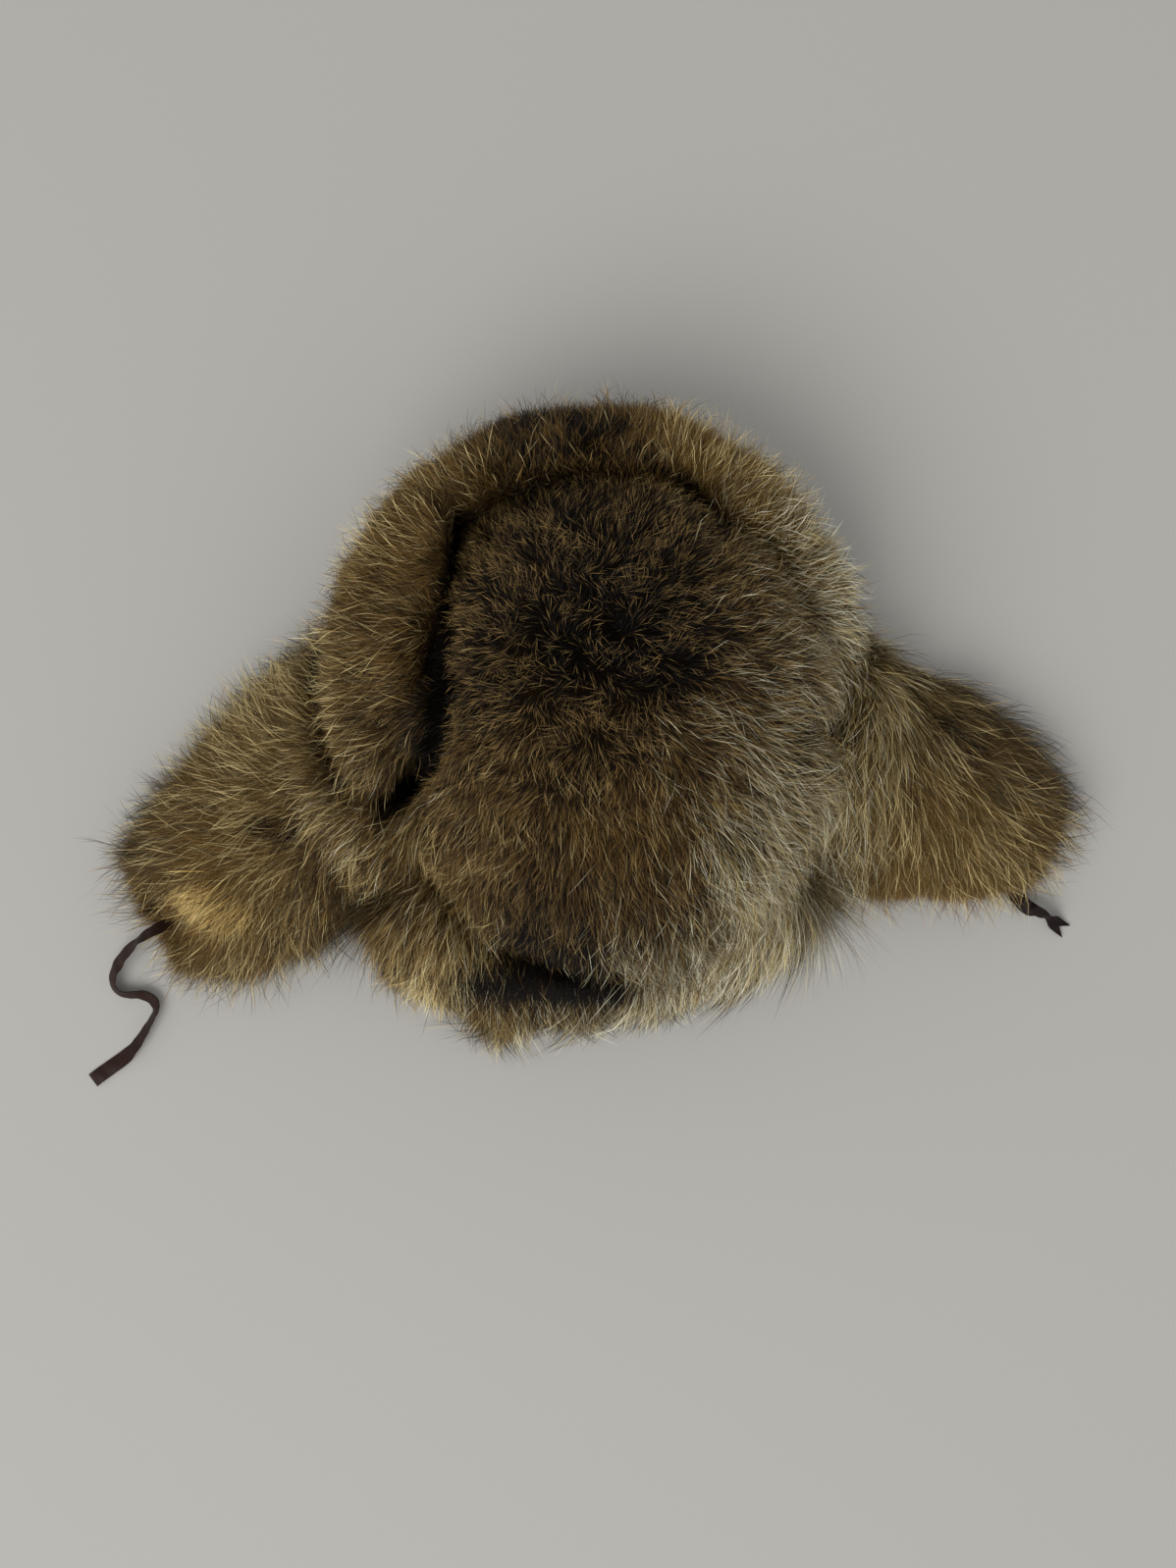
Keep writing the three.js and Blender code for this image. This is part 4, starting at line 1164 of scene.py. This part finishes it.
def coat_layer(node, name, coat, count, seed, style, guard):
    """One layer of hair of a fur node, grown from its underfur"""
    chance = np.random.default_rng(seed)
    count = int(count * coat.density)
    roots, outs = guard_roots(node, count, chance) if guard else scatter(node, count, chance)
    seen = seen_from_above(roots)
    folded = open_fold(seen)
    heading, lengths, lifts, _ = read_coat(seen, 0.0)
    roots = roots - outs * chance.uniform(0, style["sink"], count)[:, None]
    rim = smooth(0.40, 0.85, 1 - outs[:, 2])
    if node == "crown_fur":
        rim = np.zeros(count)
        heading, near = from_swirl(seen)
        edge = smooth(0.25, 0.75, 1 - outs[:, 2]) * (1 - folded)
        lifts = lifts + np.radians(10) * edge + np.radians(22) * near
        lengths = lengths * (1 + 0.2 * edge)
    lengths = lengths * (1 - 0.35 * folded)
    along = lie_of_hairs(heading, roots, outs, seed)
    middle = roots + along * (lengths * style["length"] * 0.55)[:, None]
    mix = read_coat(seen_from_above(middle), 1.8 * waves(roots, 12, seed + 3))[3]
    if guard:
        lengths = lengths * (1 + 0.22 * rim * (1 - folded))
        mix = guard_mix(mix * (1 + rim[:, None] * RIM_GUARDS))[0]
    else:
        mix = under_mix(mix)
    drawn = chance.random(count)[:, None]
    kinds = np.minimum(np.sum(np.cumsum(mix, axis=1) < drawn, axis=1), len(KINDS) - 1)
    tones = 0.5 - style["dim"] + style["tone"] * chance.normal(size=count) + 0.08 * waves(roots, 15, 4)
    # Hair is painted darker in open folds, as painted shade, and darker where the fur faces sideways
    tones = tones + style["tuft"] * waves(roots, 4.2, 5) - 0.16 * rim - 0.18 * folded
    hairs = {
        "roots": roots, "outs": outs, "along": along, "lengths": lengths * style["length"], "lifts": lifts,
        "kinds": kinds, "tones": np.clip(tones, 0, 1),
    }
    return grow(name, hairs, style, coat, chance)


def coat_piece(node, label, coat):
    """The hair of one fur node: a short dense layer and long guard hairs, joined"""
    hair = HAIRS[node]
    short, long = hair["counts"]
    layers = [
        coat_layer(node, hair["name"], coat, short, hair["seed"], {**UNDER, **hair["under"]}, False),
        coat_layer(
            node, hair["name"] + "_guards", coat, long, hair["seed"] + GUARD_SEED,
            {**GUARD, **hair["guards"]}, True,
        ),
    ]
    deselect()
    for layer in layers:
        layer.select_set(True)
    bpy.context.view_layer.objects.active = layers[0]
    bpy.ops.object.join()
    return finish_piece(layers[0], hair_material(label, coat))


def ribbon_places(tie, line, spans, share, side, settings):
    """Where each corner of a ribbon's grid lies, from its share of the length and its side of the middle"""
    length = spans[-1]
    pull = tie["notch"] * (1 - np.abs(side)) * smooth(0.75, 1.0, share)
    at = np.clip(share * length - pull, 0, length)
    crease = waves(np.stack([at, np.zeros_like(at), np.zeros_like(at)], axis=1), CREASE_LENGTH, tie["seed"])
    turn = np.radians(read_table(tie["turns"], at / length)) + tie["crumple"] * crease
    half = settings.width / MM / 2
    ahead = on_line(line, spans, np.minimum(at + 1.0, length))
    behind = on_line(line, spans, np.maximum(at - 1.0, 0))
    forth = unit(ahead - behind)
    aside = np.stack([-forth[:, 1], forth[:, 0]], axis=1)
    rise = settings.thickness / MM + np.abs(np.sin(turn)) * half + read_table(tie["lie"], at / length)
    cup = 0.35 * (1 - side**2) * (1 + crease) * np.cos(turn)
    flat = on_line(line, spans, at) + aside * (side * half * np.cos(turn))[:, None]
    heights = np.maximum(rise + side * half * np.sin(turn) + cup, RIBBON_CLEARANCE)
    return np.concatenate([flat, heights[:, None]], axis=1)


def ribbon(name, settings):
    """A tie ribbon laid along its route, turned on its edge where it folds"""
    tie = RIBBONS[name]
    deselect()
    bpy.ops.mesh.primitive_grid_add(
        x_subdivisions=RIBBON_COLUMNS, y_subdivisions=RIBBON_ROWS, size=1, location=(0, 0, 0),
    )
    piece = bpy.context.object
    piece.name = piece.data.name = name
    line, _ = ribbon_line(tie)
    spans = spans_along(line)
    corners = vertex_values(piece.data, "co")
    places = ribbon_places(tie, line, spans, corners[:, 0] + 0.5, corners[:, 1] * 2, settings)
    piece.data.vertices.foreach_set("co", to_frame(places).ravel())
    piece.data.update()
    pick(piece)
    soften(piece, "SOLIDIFY", {"thickness": settings.thickness, "offset": 0.0})
    bpy.ops.object.shade_smooth_by_angle(angle=math.radians(50))
    label = name.replace("_", " ").capitalize() + " satin"
    material = ribbon_material(label, getattr(settings, tie["colour"]), spans[-1] / THREAD_PITCH)
    finish_piece(piece, material, (tie["node"],))
    return piece


class USHANKA_OT_studio(bpy.types.Operator):
    """Makes the camera, the plain floor and the soft light"""

    bl_idname = "ushanka.studio"
    bl_label = "Studio"

    def execute(self, context):
        studio = context.scene.ushanka_studio
        scene = context.scene
        scene.view_settings.view_transform = "Standard"
        camera = bpy.data.objects.new("Camera", bpy.data.cameras.new("Camera"))
        scene.collection.objects.link(camera)
        camera.location = to_frame([[EYE[0], EYE[1], EYE_HEIGHT]])[0]
        camera.rotation_euler = (0, 0, math.pi)
        camera.data.sensor_fit = "AUTO"
        camera.data.lens = camera.data.sensor_width * EYE_HEIGHT / VIEW_LENGTH
        camera.data.clip_start = 0.01
        camera.data.clip_end = 20
        scene.camera = camera
        deselect()
        bpy.ops.mesh.primitive_plane_add(size=FLOOR_SIZE, location=(0, 0, 0))
        floor = context.object
        floor.name = "Floor"
        material, _, shader = new_material("Plain floor", Roughness=0.85, Specular_IOR_Level=0.2)
        shader.inputs["Base Color"].default_value = linear(studio.floor_colour)
        floor.data.materials.append(material)
        key = bpy.data.lights.new("Key", "AREA")
        key.shape = "DISK"
        key.size = KEY_SIZE
        key.energy = studio.key_power
        key.color = (1.0, 0.985, 0.96)
        lamp = bpy.data.objects.new("Key", key)
        scene.collection.objects.link(lamp)
        lamp.location = KEY_PLACE
        lamp.rotation_euler = (KEY_AIM - lamp.location).to_track_quat("-Z", "Y").to_euler()
        world = bpy.data.worlds.new("Soft room")
        world.use_nodes = True
        world.node_tree.nodes["Background"].inputs["Color"].default_value = (1.0, 0.99, 0.97, 1.0)
        world.node_tree.nodes["Background"].inputs["Strength"].default_value = studio.fill
        scene.world = world
        return {"FINISHED"}


class USHANKA_OT_ribbons(bpy.types.Operator):
    """Lays the two tie ribbons along their routes on the floor"""

    bl_idname = "ushanka.ribbons"
    bl_label = "Tie ribbons"

    def execute(self, context):
        for name in RIBBONS:
            ribbon(name, context.scene.ushanka_ribbon)
        return {"FINISHED"}


class USHANKA_OT_crown_wall(bpy.types.Operator):
    """Gives the crown wall its suede"""

    bl_idname = "ushanka.crown_wall"
    bl_label = "Crown wall"

    def execute(self, context):
        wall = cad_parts["crown_wall"]
        material = pelt_material()
        if wall.material_slots:
            for material_slot in wall.material_slots:
                material_slot.material = material
        else:
            wall.data.materials.append(material)
        return {"FINISHED"}


class USHANKA_OT_underfur(bpy.types.Operator):
    """Makes the dense underfur of every fur piece"""

    bl_idname = "ushanka.underfur"
    bl_label = "Underfur"

    def execute(self, context):
        for node, shape in UNDERFURS.items():
            piece = underfur(node, context.scene.ushanka_coat)
            finish_piece(piece, underfur_material(), (node,))
        return {"FINISHED"}


class USHANKA_OT_crown_hair(bpy.types.Operator):
    """Grows the short hair of the crown out from its swirl"""

    bl_idname = "ushanka.crown_hair"
    bl_label = "Crown hair"

    def execute(self, context):
        coat_piece("crown_fur", "Crown hair", context.scene.ushanka_coat)
        return {"FINISHED"}


class USHANKA_OT_visor_hair(bpy.types.Operator):
    """Grows the hair of the turned up front"""

    bl_idname = "ushanka.visor_hair"
    bl_label = "Front hair"

    def execute(self, context):
        coat_piece("front_visor", "Front hair", context.scene.ushanka_coat)
        return {"FINISHED"}


class USHANKA_OT_ear_flap_hair(bpy.types.Operator):
    """Grows the long hair of the two ear flaps"""

    bl_idname = "ushanka.ear_flap_hair"
    bl_label = "Ear flap hair"

    def execute(self, context):
        for node in ("ear_flap_left", "ear_flap_right"):
            coat_piece(node, "Ear flap hair", context.scene.ushanka_coat)
        return {"FINISHED"}


class USHANKA_OT_neck_hair(bpy.types.Operator):
    """Grows the hair of the neck flap"""

    bl_idname = "ushanka.neck_hair"
    bl_label = "Neck flap hair"

    def execute(self, context):
        coat_piece("neck_flap", "Neck flap hair", context.scene.ushanka_coat)
        return {"FINISHED"}


class USHANKA_PT_panel(bpy.types.Panel):
    """Lists the steps that build the hat"""

    bl_label = "Ushanka"
    bl_idname = "USHANKA_PT_panel"
    bl_space_type = "VIEW_3D"
    bl_region_type = "UI"
    bl_category = "Ushanka"

    def draw(self, context):
        for step in STEPS:
            self.layout.operator(step.bl_idname)
        self.layout.prop(context.scene.ushanka_coat, "density")
        self.layout.prop(context.scene.ushanka_coat, "thickness")
        self.layout.prop(context.scene.ushanka_coat, "brightness")
        self.layout.prop(context.scene.ushanka_ribbon, "width")
        self.layout.prop(context.scene.ushanka_studio, "floor_colour")


STEPS = (
    USHANKA_OT_studio,
    USHANKA_OT_ribbons,
    USHANKA_OT_crown_wall,
    USHANKA_OT_underfur,
    USHANKA_OT_crown_hair,
    USHANKA_OT_visor_hair,
    USHANKA_OT_ear_flap_hair,
    USHANKA_OT_neck_hair,
)
CLASSES = (HatCoat, HatRibbon, HatStudio, *STEPS, USHANKA_PT_panel)


def register():
    for each in CLASSES:
        bpy.utils.register_class(each)
    bpy.types.Scene.ushanka_coat = bpy.props.PointerProperty(type=HatCoat)
    bpy.types.Scene.ushanka_ribbon = bpy.props.PointerProperty(type=HatRibbon)
    bpy.types.Scene.ushanka_studio = bpy.props.PointerProperty(type=HatStudio)


def unregister():
    del bpy.types.Scene.ushanka_studio
    del bpy.types.Scene.ushanka_ribbon
    del bpy.types.Scene.ushanka_coat
    for each in reversed(CLASSES):
        bpy.utils.unregister_class(each)


def main():
    """Builds the hat step by step"""
    register()
    for step in STEPS:
        group, name = step.bl_idname.split(".")
        getattr(getattr(bpy.ops, group), name)()


if __name__ == "__main__":
    main()
